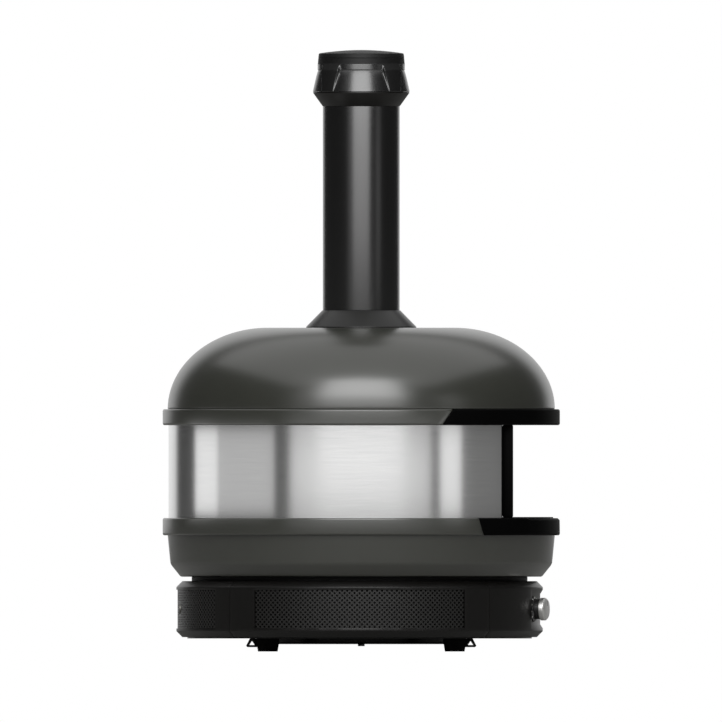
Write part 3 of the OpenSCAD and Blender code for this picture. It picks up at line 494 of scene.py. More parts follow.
def taken_off(bench: bpy.types.Object) -> bpy.types.Mesh:
    """Turn an object's evaluated shape into a plain mesh, and remove the object."""
    graph = bpy.context.evaluated_depsgraph_get()
    result = bpy.data.meshes.new_from_object(bench.evaluated_get(graph), depsgraph=graph)
    used = bench.data
    bpy.data.objects.remove(bench)
    bpy.data.meshes.remove(used)
    return result


def softened(node: str, width: float, angle: float = 40.0) -> bpy.types.Mesh:
    """Copy a CAD node's mesh and take the hardness off its edges.

    Args:
        node: The CAD node.
        width: Width of the softened edges.
        angle: Edges that turn by more than this many degrees are softened.

    Returns:
        The new mesh.
    """
    shape = bmesh.new()
    shape.from_mesh(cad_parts[node].data)
    bmesh.ops.remove_doubles(shape, verts=shape.verts, dist=MERGE_DISTANCE)
    bmesh.ops.dissolve_limit(shape, angle_limit=FLAT_ANGLE, verts=shape.verts, edges=shape.edges)
    return smooth(shaped(as_mesh(shape), bevel_modifier(width, angle)))


def fit(mesh: bpy.types.Mesh, name: str, finishes: Sequence[Finish], body: Body, slot: Slot,
        *nodes: str) -> bpy.types.Object:
    """Put a finished mesh in its place on the oven.

    Args:
        mesh: The mesh, in the oven's frame.
        name: The piece's name.
        finishes: Its finishes, in the order of its material slots.
        body: The body that it rides on.
        slot: Not used; the record's slot of its finish.
        nodes: The CAD nodes that it stands for.

    Returns:
        The piece.
    """
    mesh.name = name
    mesh.materials.clear()
    for finish in finishes:
        mesh.materials.append(finish.material())
    piece = linked(name, mesh)
    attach(piece, body.value)
    if nodes:
        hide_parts(*nodes)
    LOG.info("%s: %d faces, rides on %s, stands for %s", name, len(mesh.polygons), body.value,
             ", ".join(nodes) or "no node")
    return piece


def keep(node: str, finish: Finish) -> None:
    """Give a CAD node that stays its finish.

    Args:
        node: The CAD node.
        finish: Its finish.
    """
    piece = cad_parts[node]
    if not piece.material_slots:
        piece.data.materials.append(None)
    for holder in piece.material_slots:
        holder.material = finish.material()
    LOG.info("%s: CAD node in %s", node, finish.name)


# Geometry Nodes


class NodeTool:
    """A Geometry Nodes tree with named inputs, which makes plain meshes."""

    def __init__(self, name: str, inputs: dict[str, str]) -> None:
        """Start a tree.

        Args:
            name: The tree's name.
            inputs: Socket type of each named input.
        """
        self.tree = bpy.data.node_groups.new(name, "GeometryNodeTree")
        for key, kind in inputs.items():
            self.tree.interface.new_socket(key, in_out="INPUT", socket_type=kind)
        self.tree.interface.new_socket("Mesh", in_out="OUTPUT", socket_type="NodeSocketGeometry")
        self.given = add_node(self.tree, "NodeGroupInput").outputs

    def add(self, kind: str, values: dict | None = None, links: dict | None = None,
            **settings: object) -> bpy.types.NodeOutputs:
        """Add a node to the tree and return its outputs."""
        return add_node(self.tree, kind, values, links, **settings).outputs

    def math(self, operation: str, first: object, second: object = 0.0) -> bpy.types.NodeSocket:
        """Work out one number from two, each a socket or a constant.

        Args:
            operation: Name of the math node's operation.
            first: The first operand.
            second: The second operand.

        Returns:
            The socket of the result.
        """
        values = {i: v for i, v in enumerate((first, second)) if not isinstance(v, bpy.types.NodeSocket)}
        links = {i: v for i, v in enumerate((first, second)) if isinstance(v, bpy.types.NodeSocket)}
        return self.add("ShaderNodeMath", values, links, operation=operation)[0]

    def join(self, *parts: bpy.types.NodeSocket) -> bpy.types.NodeSocket:
        """Join geometries into one."""
        node = add_node(self.tree, "GeometryNodeJoinGeometry")
        for part in parts:
            self.tree.links.new(part, node.inputs[0])
        return node.outputs[0]

    def end(self, geometry: bpy.types.NodeSocket) -> None:
        """Realise the instances, set the material and close the tree."""
        real = self.add("GeometryNodeRealizeInstances", links={"Geometry": geometry})[0]
        dressed = self.add("GeometryNodeSetMaterial",
                           links={"Geometry": real, "Material": self.given["Material"]})[0]
        add_node(self.tree, "NodeGroupOutput", links={"Mesh": dressed})

    def make(self, **inputs: object) -> bpy.types.Mesh:
        """Run the tree and return its result as a plain mesh.

        Args:
            inputs: Value of each input, with _ for a space in its name.

        Returns:
            The mesh, with its normals facing outwards.
        """
        bench = linked(self.tree.name, bpy.data.meshes.new(self.tree.name))
        modifier = bench.modifiers.new(self.tree.name, "NODES")
        modifier.node_group = self.tree
        sockets = {item.name: item.identifier for item in self.tree.interface.items_tree if item.in_out == "INPUT"}
        for key, value in inputs.items():
            modifier[sockets[key.replace("_", " ")]] = value
        mesh = taken_off(bench)
        shape = bmesh.new()
        shape.from_mesh(mesh)
        bmesh.ops.recalc_face_normals(shape, faces=shape.faces)
        shape.to_mesh(mesh)
        shape.free()
        return smooth(mesh)


# Corners of a hole and of the port, cuts in the sheet's sides, and hole radii that stay clear of the port
HOLE_SIDES, PORT_SIDES, SIDE_CUTS, PORT_CLEARANCE = 12, 48, 80, 1.6


def perforator() -> NodeTool:
    """Build the tree that makes a curved sheet with staggered round holes.

    Returns:
        The tool. It cuts the holes out of a flat sheet, gives the sheet its thickness and bends it round the drum.
    """
    length, whole = "NodeSocketFloat", "NodeSocketInt"
    tool = NodeTool("perforated_sheet", {
        "Width": length, "Height": length, "Across Pitch": length, "Row Pitch": length, "Columns": whole,
        "Rows": whole, "Hole Radius": length, "Pattern Rise": length, "Thickness": length, "Bend Radius": length,
        "Direction": length, "Back Shift": length, "Middle Height": length, "Port Place": length,
        "Port Radius": length, "Material": "NodeSocketMaterial"})
    given = tool.given
    span = tool.math("MULTIPLY", tool.math("SUBTRACT", given["Columns"], 1.0), given["Across Pitch"])
    rise = tool.math("MULTIPLY", tool.math("SUBTRACT", given["Rows"], 1.0), given["Row Pitch"])
    spots = tool.add("GeometryNodeMeshGrid", links={
        "Size X": span, "Size Y": rise, "Vertices X": given["Columns"], "Vertices Y": given["Rows"]})["Mesh"]

    # Every other row moves by half a pitch
    place = tool.add("GeometryNodeInputPosition")[0]
    up = tool.add("ShaderNodeSeparateXYZ", links={0: place})["Y"]
    row = tool.math("ROUND", tool.math("DIVIDE", tool.math("ADD", up, tool.math("MULTIPLY", rise, 0.5)),
                                       given["Row Pitch"]))
    even = tool.math("SUBTRACT", 1.0, tool.math("MODULO", row, 2.0))
    step = tool.math("MULTIPLY", even, tool.math("MULTIPLY", given["Across Pitch"], 0.5))
    move = tool.add("ShaderNodeCombineXYZ", links={"X": step, "Y": given["Pattern Rise"]})[0]
    spots = tool.add("GeometryNodeSetPosition", links={"Geometry": spots, "Offset": move})[0]

    # No hole where the port is
    port = tool.add("ShaderNodeCombineXYZ", links={"X": given["Port Place"]})[0]
    far = tool.add("ShaderNodeVectorMath", links={0: tool.add("GeometryNodeInputPosition")[0], 1: port},
                   operation="DISTANCE")["Value"]
    rim = tool.math("ADD", given["Port Radius"], tool.math("MULTIPLY", given["Hole Radius"], PORT_CLEARANCE))
    has_port = tool.math("GREATER_THAN", given["Port Radius"], 0.0)
    near = tool.math("MULTIPLY", tool.math("LESS_THAN", far, rim), has_port)
    spots = tool.add("GeometryNodeDeleteGeometry", links={"Geometry": spots, "Selection": near}, domain="POINT")[0]

    circle = "GeometryNodeCurvePrimitiveCircle"
    hole = tool.add(circle, {"Resolution": HOLE_SIDES}, {"Radius": given["Hole Radius"]})["Curve"]
    holes = tool.add("GeometryNodeInstanceOnPoints", links={"Points": spots, "Instance": hole})[0]
    holes = tool.add("GeometryNodeRealizeInstances", links={"Geometry": holes})[0]
    mouth = tool.add(circle, {"Resolution": PORT_SIDES}, {"Radius": given["Port Radius"]})["Curve"]
    mouth = tool.add("GeometryNodeTransform", links={"Geometry": mouth, "Translation": port})[0]
    mouth = tool.add("GeometryNodeSwitch", links={"Switch": has_port, "True": mouth}, input_type="GEOMETRY")[0]
    edge = tool.add("GeometryNodeCurvePrimitiveQuadrilateral",
                    links={"Width": given["Width"], "Height": given["Height"]})[0]
    edge = tool.add("GeometryNodeSubdivideCurve", {"Cuts": SIDE_CUTS}, {"Curve": edge})[0]
    lines = tool.join(holes, mouth, edge)
    sheet = tool.add("GeometryNodeFillCurve", links={"Curve": lines}, mode="TRIANGLES")[0]

    depth = tool.math("MULTIPLY", given["Thickness"], -1.0)
    back = tool.add("GeometryNodeExtrudeMesh", {"Individual": False}, {"Mesh": sheet, "Offset Scale": depth},
                    mode="FACES")["Mesh"]
    back = tool.add("GeometryNodeFlipFaces", links={"Mesh": back})[0]
    slab = tool.join(sheet, back)
    slab = tool.add("GeometryNodeMergeByDistance", {"Distance": MERGE_DISTANCE}, {"Geometry": slab})[0]

    # Bend: across becomes an angle, up stays up and depth becomes a radius
    flat = tool.add("ShaderNodeSeparateXYZ", links={0: tool.add("GeometryNodeInputPosition")[0]})
    angle = tool.math("ADD", tool.math("DIVIDE", flat["X"], given["Bend Radius"]), given["Direction"])
    radius = tool.math("ADD", flat["Z"], given["Bend Radius"])
    bent = tool.add("ShaderNodeCombineXYZ", links={
        "X": tool.math("MULTIPLY", radius, tool.math("SINE", angle)),
        "Y": tool.math("ADD", tool.math("MULTIPLY", radius, tool.math("COSINE", angle)), given["Back Shift"]),
        "Z": tool.math("ADD", flat["Y"], given["Middle Height"])})[0]
    tool.end(tool.add("GeometryNodeSetPosition", links={"Geometry": slab, "Position": bent})[0])
    return tool


def dial_marker() -> NodeTool:
    """Build the tree that sets short ticks round part of a dial.

    Returns:
        The tool. The dial's face looks along +Z, and the middle tick points along +Y.
    """
    length = "NodeSocketFloat"
    tool = NodeTool("dial_ticks", {
        "Count": "NodeSocketInt", "Ring Radius": length, "Sweep": length, "Tick Length": length,
        "Tick Width": length, "Tick Height": length, "Lift": length, "Material": "NodeSocketMaterial"})
    given = tool.given
    number = tool.add("GeometryNodeInputIndex")[0]
    share = tool.math("SUBTRACT", tool.math("DIVIDE", number, tool.math("SUBTRACT", given["Count"], 1.0)), 0.5)
    turn = tool.math("MULTIPLY", share, given["Sweep"])
    spot = tool.add("ShaderNodeCombineXYZ", links={
        "X": tool.math("MULTIPLY", given["Ring Radius"], tool.math("SINE", turn)),
        "Y": tool.math("MULTIPLY", given["Ring Radius"], tool.math("COSINE", turn)), "Z": given["Lift"]})[0]
    spots = tool.add("GeometryNodePoints", links={"Count": given["Count"], "Position": spot})[0]
    size = tool.add("ShaderNodeCombineXYZ", links={
        "X": given["Tick Width"], "Y": given["Tick Length"], "Z": given["Tick Height"]})[0]
    tick = tool.add("GeometryNodeMeshCube", links={"Size": size})["Mesh"]
    facing = tool.add("ShaderNodeCombineXYZ", links={"Z": tool.math("MULTIPLY", turn, -1.0)})[0]
    facing = tool.add("FunctionNodeEulerToRotation", links={0: facing})[0]
    tool.end(tool.add("GeometryNodeInstanceOnPoints",
                      links={"Points": spots, "Instance": tick, "Rotation": facing})[0])
    return tool


# Sub-assemblies


@dataclass
class RimRing:
    """A pressed channel that runs round the body, olive at the sides and rear, with a black lip in front."""

    name: str
    foot: float
    height: float
    seam_top: float
    seam_foot: float
    bevel: float = 0.0
    bevel_angle: float = 32.5
    radius: float = 297.5
    flange: float = 17.5
    sheet: float = 2.0
    edge_radius: float = 3.0
    seam_gap: float = 0.2
    seam_chamfer: float = 1.2
    columns: int = 150

    def outline(self, bevel: float = 0.0) -> list[Point]:
        """Give the channel's section, with a bevel on its upper outer edge if one is asked for."""
        inner, outer = self.radius - self.flange, self.radius
        low, high = self.foot, self.foot + self.height
        t, edge, bend = self.sheet, self.edge_radius, self.edge_radius - self.sheet
        points = rounded([
            (inner, low, ROUNDED), (outer, low, edge), (outer, high, edge), (inner, high, ROUNDED),
            (inner, high - t, ROUNDED), (outer - t, high - t, bend), (outer - t, low + t, bend),
            (inner, low + t, ROUNDED)], step=10.0)
        if not bevel:
            return points
        limit = outer + high - bevel
        return [(r - max(0.0, r + z - limit) / 2, z - max(0.0, r + z - limit) / 2) for r, z in points]

    def seam(self, height: float) -> float:
        """Give the seam's distance in front of the axis at a height."""
        share = (height - self.foot) / self.height
        return self.seam_foot + (self.seam_top - self.seam_foot) * share

    def columns_between(self, lip: bool) -> list[list[Vector]]:
        """Place the sections from one seam to the other.

        Args:
            lip: Whether the columns run round the front, or round the sides and the rear.

        Returns:
            The columns of points. The first and last are smaller, which chamfers the ends.
        """
        way = 1 if lip else -1
        full = self.outline()
        small = shrunk(full, self.seam_chamfer / 2)
        columns = []
        for i in range(-1, self.columns + 2):
            at_end = i in (-1, self.columns + 1)
            back = self.seam_gap + (0.0 if at_end else self.seam_chamfer)
            share = min(max(i / self.columns, 0.0), 1.0)
            section = small if at_end else full
            if lip and self.bevel and not at_end and abs(share - 0.5) * 2 < self.bevel_share():
                section = self.outline(self.bevel)
            column = []
            for r, z in section:
                end = math.acos(-min(self.seam(z) + way * back, r) / r)
                first, last = (end, math.tau - end) if lip else (-end, end)
                column.append(on_circle(r, first + (last - first) * share, z))
            columns.append(column)
        return columns

    def bevel_share(self) -> float:
        """Give the share of the lip's sweep that is bevelled."""
        half = math.acos(self.seam(self.foot + self.height) / self.radius)
        return math.radians(self.bevel_angle) / half

    def build(self) -> None:
        """Make the olive ring and the black lip."""
        ring = grid_mesh(self.columns_between(lip=False), ring=False)
        fit(ring, self.name + "_ring", [OLIVE_COAT], Body.OVEN, Slot.OLIVE, self.name + "_rim")
        lip = grid_mesh(self.columns_between(lip=True), ring=False)
        fit(lip, self.name + "_black_lip", [SOOT_BLACK], Body.OVEN, Slot.BLACK, self.name + "_lip")


@dataclass
class UpperShell:
    """The domed top and the collar that carries the chimney."""

    foot: float = 363.0
    rise: float = 122.0
    foot_radius: float = 290.0
    flat_radius: float = 140.0
    hole_radius: float = 56.3
    sheet: float = 2.0
    foot_rounding: float = 1.2
    foot_taper: float = 0.05
    chamfer_share: float = 0.3
    collar_radius: float = 82.5
    collar_top_radius: float = 58.4
    collar_height: float = 26.0
    collar_edge: float = 1.5
    collar_sheet: float = 2.5
    steps: int = 56

    def dome_curve(self, inset: float) -> list[Point]:
        """Give the dome's curve from its foot to its flat top, moved inwards."""
        run, rise = self.foot_radius - self.flat_radius - inset, self.rise - inset
        return [(self.flat_radius + run * math.cos(t), self.foot + rise * math.sin(t))
                for t in spaced(0.0, math.pi / 2, self.steps)]

    def build(self) -> None:
        """Make the dome's shell and the collar."""
        edge, chamfer = self.foot_rounding, self.chamfer_share * self.foot_rounding
        top = self.foot + self.rise
        outline = [(self.foot_radius - edge, self.foot), (self.foot_radius - chamfer, self.foot + chamfer),
                   (self.foot_radius - self.foot_taper, self.foot + edge), *self.dome_curve(0.0)[1:],
                   (self.hole_radius, top), (self.hole_radius, top - self.sheet),
                   *reversed(self.dome_curve(self.sheet))]
        fit(turned(outline, LARGE_TURN), "domed_top", [OLIVE_COAT], Body.OVEN, Slot.OLIVE, "dome_shell")
        high = top + self.collar_height
        collar = rounded([
            (self.collar_radius, top, BROKEN), (self.collar_radius, top + self.collar_edge, BENT),
            (self.collar_top_radius, high, SOFT), (self.hole_radius, high, CUT),
            (self.hole_radius, high - self.sheet, CUT), (self.collar_radius - self.collar_sheet, top, CUT)])
        fit(turned(collar, MIDDLE_TURN), "chimney_collar", [CHARCOAL_COAT], Body.OVEN, Slot.OLIVE, "collar")


@dataclass
class SteelWall:
    """The brushed band between the rims, open at the front, with the mouth's plate and black frame."""

    radius: float = 288.7
    sheet: float = 1.0
    foot: float = 200.0
    height: float = 139.0
    mouth_plane: float = 210.0
    frame_softness: float = 1.2
    plate_softness: float = 0.3
    columns: int = 200

    def build(self) -> None:
        """Make the band and dress the mouth."""
        inner = self.radius - self.sheet
        section = [(self.radius, self.foot), (self.radius, self.foot + self.height),
                   (inner, self.foot + self.height), (inner, self.foot)]
        columns = []
        for i in range(self.columns + 1):
            column = []
            for r, z in section:
                end = math.acos(-self.mouth_plane / r)
                column.append(on_circle(r, end * (2 * i / self.columns - 1), z))
            columns.append(column)
        fit(grid_mesh(columns, ring=False), "steel_wall", [WALL_STEEL], Body.OVEN, Slot.WALL, "wall_band")
        fit(softened("mouth_frame", self.frame_softness), "mouth_surround", [SOOT_BLACK], Body.OVEN, Slot.BLACK,
            "mouth_frame")
        fit(softened("mouth_plate", self.plate_softness), "mouth_sheet", [SOOT_BLACK], Body.OVEN, Slot.BLACK,
            "mouth_plate")


@dataclass
class LowerBody:
    """The bowl under the lower rim and the black neck ring under the bowl."""

    foot: float = 112.0
    bend: float = 131.0
    top: float = 174.0
    floor_radius: float = 270.5
    bend_radius: float = 285.75
    top_radius: float = 290.0
    sheet: float = 2.0
    floor_rounding: float = 5.0
    bend_rounding: float = 14.0
    neck_foot: float = 105.5
    neck_radius: float = 251.5
    neck_width: float = 13.5
    base_shift: float = 2.5

    def build(self) -> None:
        """Make the bowl and the neck ring."""
        t = self.sheet
        outline = rounded([
            (0.0, self.foot, 0.0), (self.floor_radius, self.foot, self.floor_rounding),
            (self.bend_radius, self.bend, self.bend_rounding), (self.top_radius, self.top, 0.0),
            (self.top_radius - t, self.top, 0.0), (self.bend_radius - t, self.bend + t / 3, self.bend_rounding),
            (self.floor_radius - t / 2, self.foot + t, self.floor_rounding), (0.0, self.foot + t, 0.0)], step=6.0)
        fit(turned(outline, LARGE_TURN), "bowl_shell", [OLIVE_COAT], Body.OVEN, Slot.OLIVE, "lower_bowl")
        inner = self.neck_radius - self.neck_width
        neck = rounded([
            (inner, self.neck_foot, ROUNDED), (self.neck_radius, self.neck_foot, BENT),
            (self.neck_radius, self.foot, BENT), (inner, self.foot, ROUNDED)])
        fit(turned(neck, shift=self.base_shift), "neck_band", [DEEP_BLACK], Body.OVEN, Slot.BLACK, "neck_ring")


@dataclass
class BaseDrum:
    """The black drum: four quarter panels, three with perforated vents and one with the pressed control recess."""

    radius: float = 274.5
    flange_radius: float = 240.0
    foot: float = 21.5
    height: float = 84.0
    chamfer: float = 9.0
    fold_radius: float = 1.5
    sheet: float = 1.5
    shift: float = 2.5
    seam_gap: float = 0.35
    half_panel: float = 45.0
    column_angle: float = 1.25
    column_clearance: float = 0.4
    edge_bevel: float = 0.35
    bevel_from: float = 50.0
    vent_foot: float = 34.5
    vent_head: float = 92.5
    vent_angles: dict[Side, float] = field(
        default_factory=lambda: {Side.LEFT: 35.0, Side.RIGHT: 35.0, Side.REAR: 38.0})
    recess_angle: float = 20.016
    recess_depth: float = 4.0
    recess_slope: float = 6.5
    recess_side: float = 0.12
    grille_radius: float = 272.7
    grille_sheet: float = 1.2
    grille_foot: float = 31.5
    grille_head: float = 95.5
    grille_lap: float = 1.0436
    hole_radius: float = 1.72
    across_pitch: float = 7.5
    row_pitch: float = 3.6
    rows: int = 17
    pattern_middle: float = 62.3
    inlet_x: float = -43.0
    inlet_hole: float = 8.0

    def section(self) -> list[Point]:
        """Give the drum's outer line from its lower flange to its upper one, with rounded folds."""
        c, low, high = self.chamfer, self.foot, self.foot + self.height
        corners = [
            (self.flange_radius, low, 0.0), (self.radius - c, low, self.fold_radius),
            (self.radius, low + c, self.fold_radius), (self.radius, high - c, self.fold_radius),
            (self.radius - c, high, self.fold_radius), (self.flange_radius, high, 0.0)]
        line = rounded(corners, step=15.0)
        slope = self.recess_slope
        levels = (self.vent_foot, self.vent_foot + slope, self.vent_head - slope, self.vent_head)
        wall = [(self.radius, z) for z in levels]
        split = next(i for i, (_, z) in enumerate(line) if z > self.foot + self.height / 2)
        return line[:split] + wall + line[split:]

    def recess(self, height: float) -> float:
        """Give the depth of the control recess at a height."""
        edge = min(height - self.vent_foot, self.vent_head - height)
        return self.recess_depth * min(max(edge / self.recess_slope, 0.0), 1.0)

    def angles(self, edge: float) -> list[float]:
        """List the columns' angles across a panel, in degrees, with columns at plus and minus edge."""
        half = self.half_panel - math.degrees(self.seam_gap / self.radius)
        count = math.ceil(half / self.column_angle)
        even = [half * i / count for i in range(-count, count + 1)]
        clear = [a for a in even if abs(abs(a) - edge) > self.column_clearance]
        return sorted([*clear, -edge, edge, self.recess_side - edge, edge - self.recess_side])

    def panel(self, side: Side) -> bpy.types.Mesh:
        """Make one quarter panel.

        Args:
            side: The quarter.

        Returns:
            The panel's mesh.
        """
        front = side is Side.FRONT
        edge = self.recess_angle if front else self.vent_angles[side]
        angles, section = self.angles(edge), self.section()
        back = Vector((0, self.shift * MM, 0))
        columns = []
        for angle in angles:
            inside = front and abs(angle) < edge - self.recess_side / 2
            turn = math.radians(side.value + angle)
            columns.append([on_circle(r - (self.recess(z) if inside else 0.0), turn, z) + back for r, z in section])

        def open_cell(i: int, j: int) -> bool:
            """Say whether a cell lies in the vent's window."""
            across = abs(angles[i] + angles[i + 1]) / 2 < edge
            up = self.vent_foot < (section[j][1] + section[j + 1][1]) / 2 < self.vent_head
            return not front and across and up

        skin = grid_mesh(columns, ring=False, section=False, skip=open_cell)
        sheet = {"thickness": self.sheet * MM, "offset": -1.0}
        return smooth(shaped(skin, ("SOLIDIFY", sheet), bevel_modifier(self.edge_bevel, self.bevel_from)))

    def grille(self, tool: NodeTool, side: Side) -> bpy.types.Mesh:
        """Make one perforated grille.

        Args:
            tool: The perforator.
            side: The quarter.

        Returns:
            The grille's mesh.
        """
        r = self.grille_radius
        half = math.radians(self.vent_angles[side] + self.grille_lap) * r
        columns = 2 * math.floor((half - self.hole_radius - self.across_pitch / 2) / self.across_pitch) + 1
        middle = (self.grille_foot + self.grille_head) / 2
        port = {}
        if side is Side.REAR:
            port = {"Port_Place": math.asin(self.inlet_x / r) * r * MM, "Port_Radius": self.inlet_hole * MM}
        return tool.make(
            Width=2 * half * MM, Height=(self.grille_head - self.grille_foot) * MM,
            Across_Pitch=self.across_pitch * MM, Row_Pitch=self.row_pitch * MM, Columns=columns, Rows=self.rows,
            Hole_Radius=self.hole_radius * MM, Pattern_Rise=(self.pattern_middle - middle) * MM,
            Thickness=self.grille_sheet * MM, Bend_Radius=r * MM, Direction=math.radians(side.value),
            Back_Shift=self.shift * MM, Middle_Height=middle * MM, Material=GRILLE_BLACK.material(), **port)

    def build(self) -> None:
        """Make the panels and the grilles."""
        tool = perforator()
        for side in Side:
            name = side.name.lower()
            if side is Side.FRONT:
                fit(self.panel(side), "front_drum_panel", [MATT_BLACK], Body.OVEN, Slot.BLACK, "front_panel",
                    "control_panel")
                continue
            fit(self.panel(side), name + "_drum_panel", [MATT_BLACK], Body.OVEN, Slot.BLACK, name + "_panel")
            fit(self.grille(tool, side), name + "_vent_grille", [GRILLE_BLACK], Body.OVEN, Slot.PERFORATED,
                name + "_grille")


@dataclass
class GasKnob:
    """The gas knob with its hub, and the dial ring behind them."""

    angle: float = 16.0
    shift: float = 2.5
    height: float = 63.5
    back: float = 283.0
    length: float = 9.5
    radius: float = 17.0
    bevel: float = 3.0
    hub_radius: float = 15.0
    hub_length: float = 8.0
    bore: float = 4.1
    socket: float = 6.5
    ring_back: float = 270.7
    ring_thickness: float = 2.0
    ring_radius: float = 18.75
    ring_bore: float = 15.6
    pointer_reach: float = 12.5
    pointer_length: float = 8.0
    pointer_width: float = 1.6
    pointer_rise: float = 0.2
    pointer_bevel: float = 0.1
    bevel_from: float = 50.0
    ticks: int = 9
    tick_sweep: float = 270.0
    tick_length: float = 2.2
    tick_width: float = 1.6
    tick_height: float = 0.7
    tick_lift: float = 0.3

    def place(self) -> Matrix:
        """Give the frame whose +Z runs out along the knob's axis, from the drum's axis."""
        turn = Matrix.Rotation(math.radians(-self.angle), 4, "Z") @ Matrix.Rotation(math.radians(90), 4, "X")
        return Matrix.Translation((0, self.shift * MM, self.height * MM)) @ turn

    def settled(self, mesh: bpy.types.Mesh) -> bpy.types.Mesh:
        """Move a mesh from the knob's frame to the oven's."""
        mesh.transform(self.place())
        return mesh

    def pointer(self) -> bpy.types.Mesh:
        """Make the bar that shows the setting, let into the knob's face."""
        half, far = self.pointer_width / 2, self.pointer_reach
        near = far - self.pointer_length
        corners = [(-half, near, half), (half, near, half), (half, far, half), (-half, far, half)]
        outline = rounded(corners, step=20.0)
        foot = self.back + self.length - self.pointer_rise
        bar = bmesh.new()
        base = bar.faces.new([bar.verts.new((x * MM, y * MM, foot * MM)) for x, y in outline])
        grown = bmesh.ops.extrude_face_region(bar, geom=[base])["geom"]
        risen = [part for part in grown if isinstance(part, bmesh.types.BMVert)]
        bmesh.ops.translate(bar, vec=(0, 0, 2 * self.pointer_rise * MM), verts=risen)
        bmesh.ops.recalc_face_normals(bar, faces=bar.faces)
        return smooth(shaped(as_mesh(bar), bevel_modifier(self.pointer_bevel, self.bevel_from)))

    def build(self) -> None:
        """Make the knob, its pointer, the hub, the dial ring and its ticks."""
        face = self.back + self.length
        knob = rounded([
            (self.bore, self.back, CUT), (self.radius, self.back, SOFT),
            (self.radius, face - self.bevel, BENT), (self.radius - self.bevel, face, BENT), (0.0, face, 0.0),
            (0.0, self.back + self.socket, 0.0), (self.bore, self.back + self.socket, CUT)])
        fit(self.settled(turned(knob, SMALL_TURN)), "knob_turning", [BLASTED_ALUMINIUM], Body.KNOB, Slot.KNOB,
            "gas_knob")
        fit(self.settled(self.pointer()), "knob_pointer", [MOULDED_BLACK], Body.KNOB, Slot.KNOB_BLACK)
        hub_back = self.back - self.hub_length
        hub = rounded([
            (self.bore, hub_back, CUT), (self.hub_radius, hub_back, ROUNDED),
            (self.hub_radius, self.back, BROKEN), (self.bore, self.back, CUT)])
        fit(self.settled(turned(hub, SMALL_TURN)), "knob_skirt", [MOULDED_BLACK], Body.KNOB, Slot.KNOB_BLACK,
            "knob_hub")
        high = self.ring_back + self.ring_thickness
        ring = rounded([
            (self.ring_bore, self.ring_back, CUT), (self.ring_radius, self.ring_back, CUT),
            (self.ring_radius, high, SOFT), (self.ring_bore, high, SOFT)])
        fit(self.settled(turned(ring, SMALL_TURN)), "dial_ring", [MOULDED_BLACK], Body.OVEN, Slot.KNOB_BLACK,
            "knob_bezel")
        middle = (self.ring_radius + self.ring_bore) / 2
        # The dial's white ticks are painted highlights: they stand in for the glints of light on the ring.
        marks = dial_marker().make(
            Count=self.ticks, Ring_Radius=middle * MM, Sweep=math.radians(self.tick_sweep),
            Tick_Length=self.tick_length * MM, Tick_Width=self.tick_width * MM,
            Tick_Height=self.tick_height * MM, Lift=(high + self.tick_lift) * MM, Material=PAINTED_GLINT_WHITE.material())
        fit(self.settled(marks), "dial_painted_glints", [PAINTED_GLINT_WHITE], Body.OVEN, Slot.KNOB_BLACK)


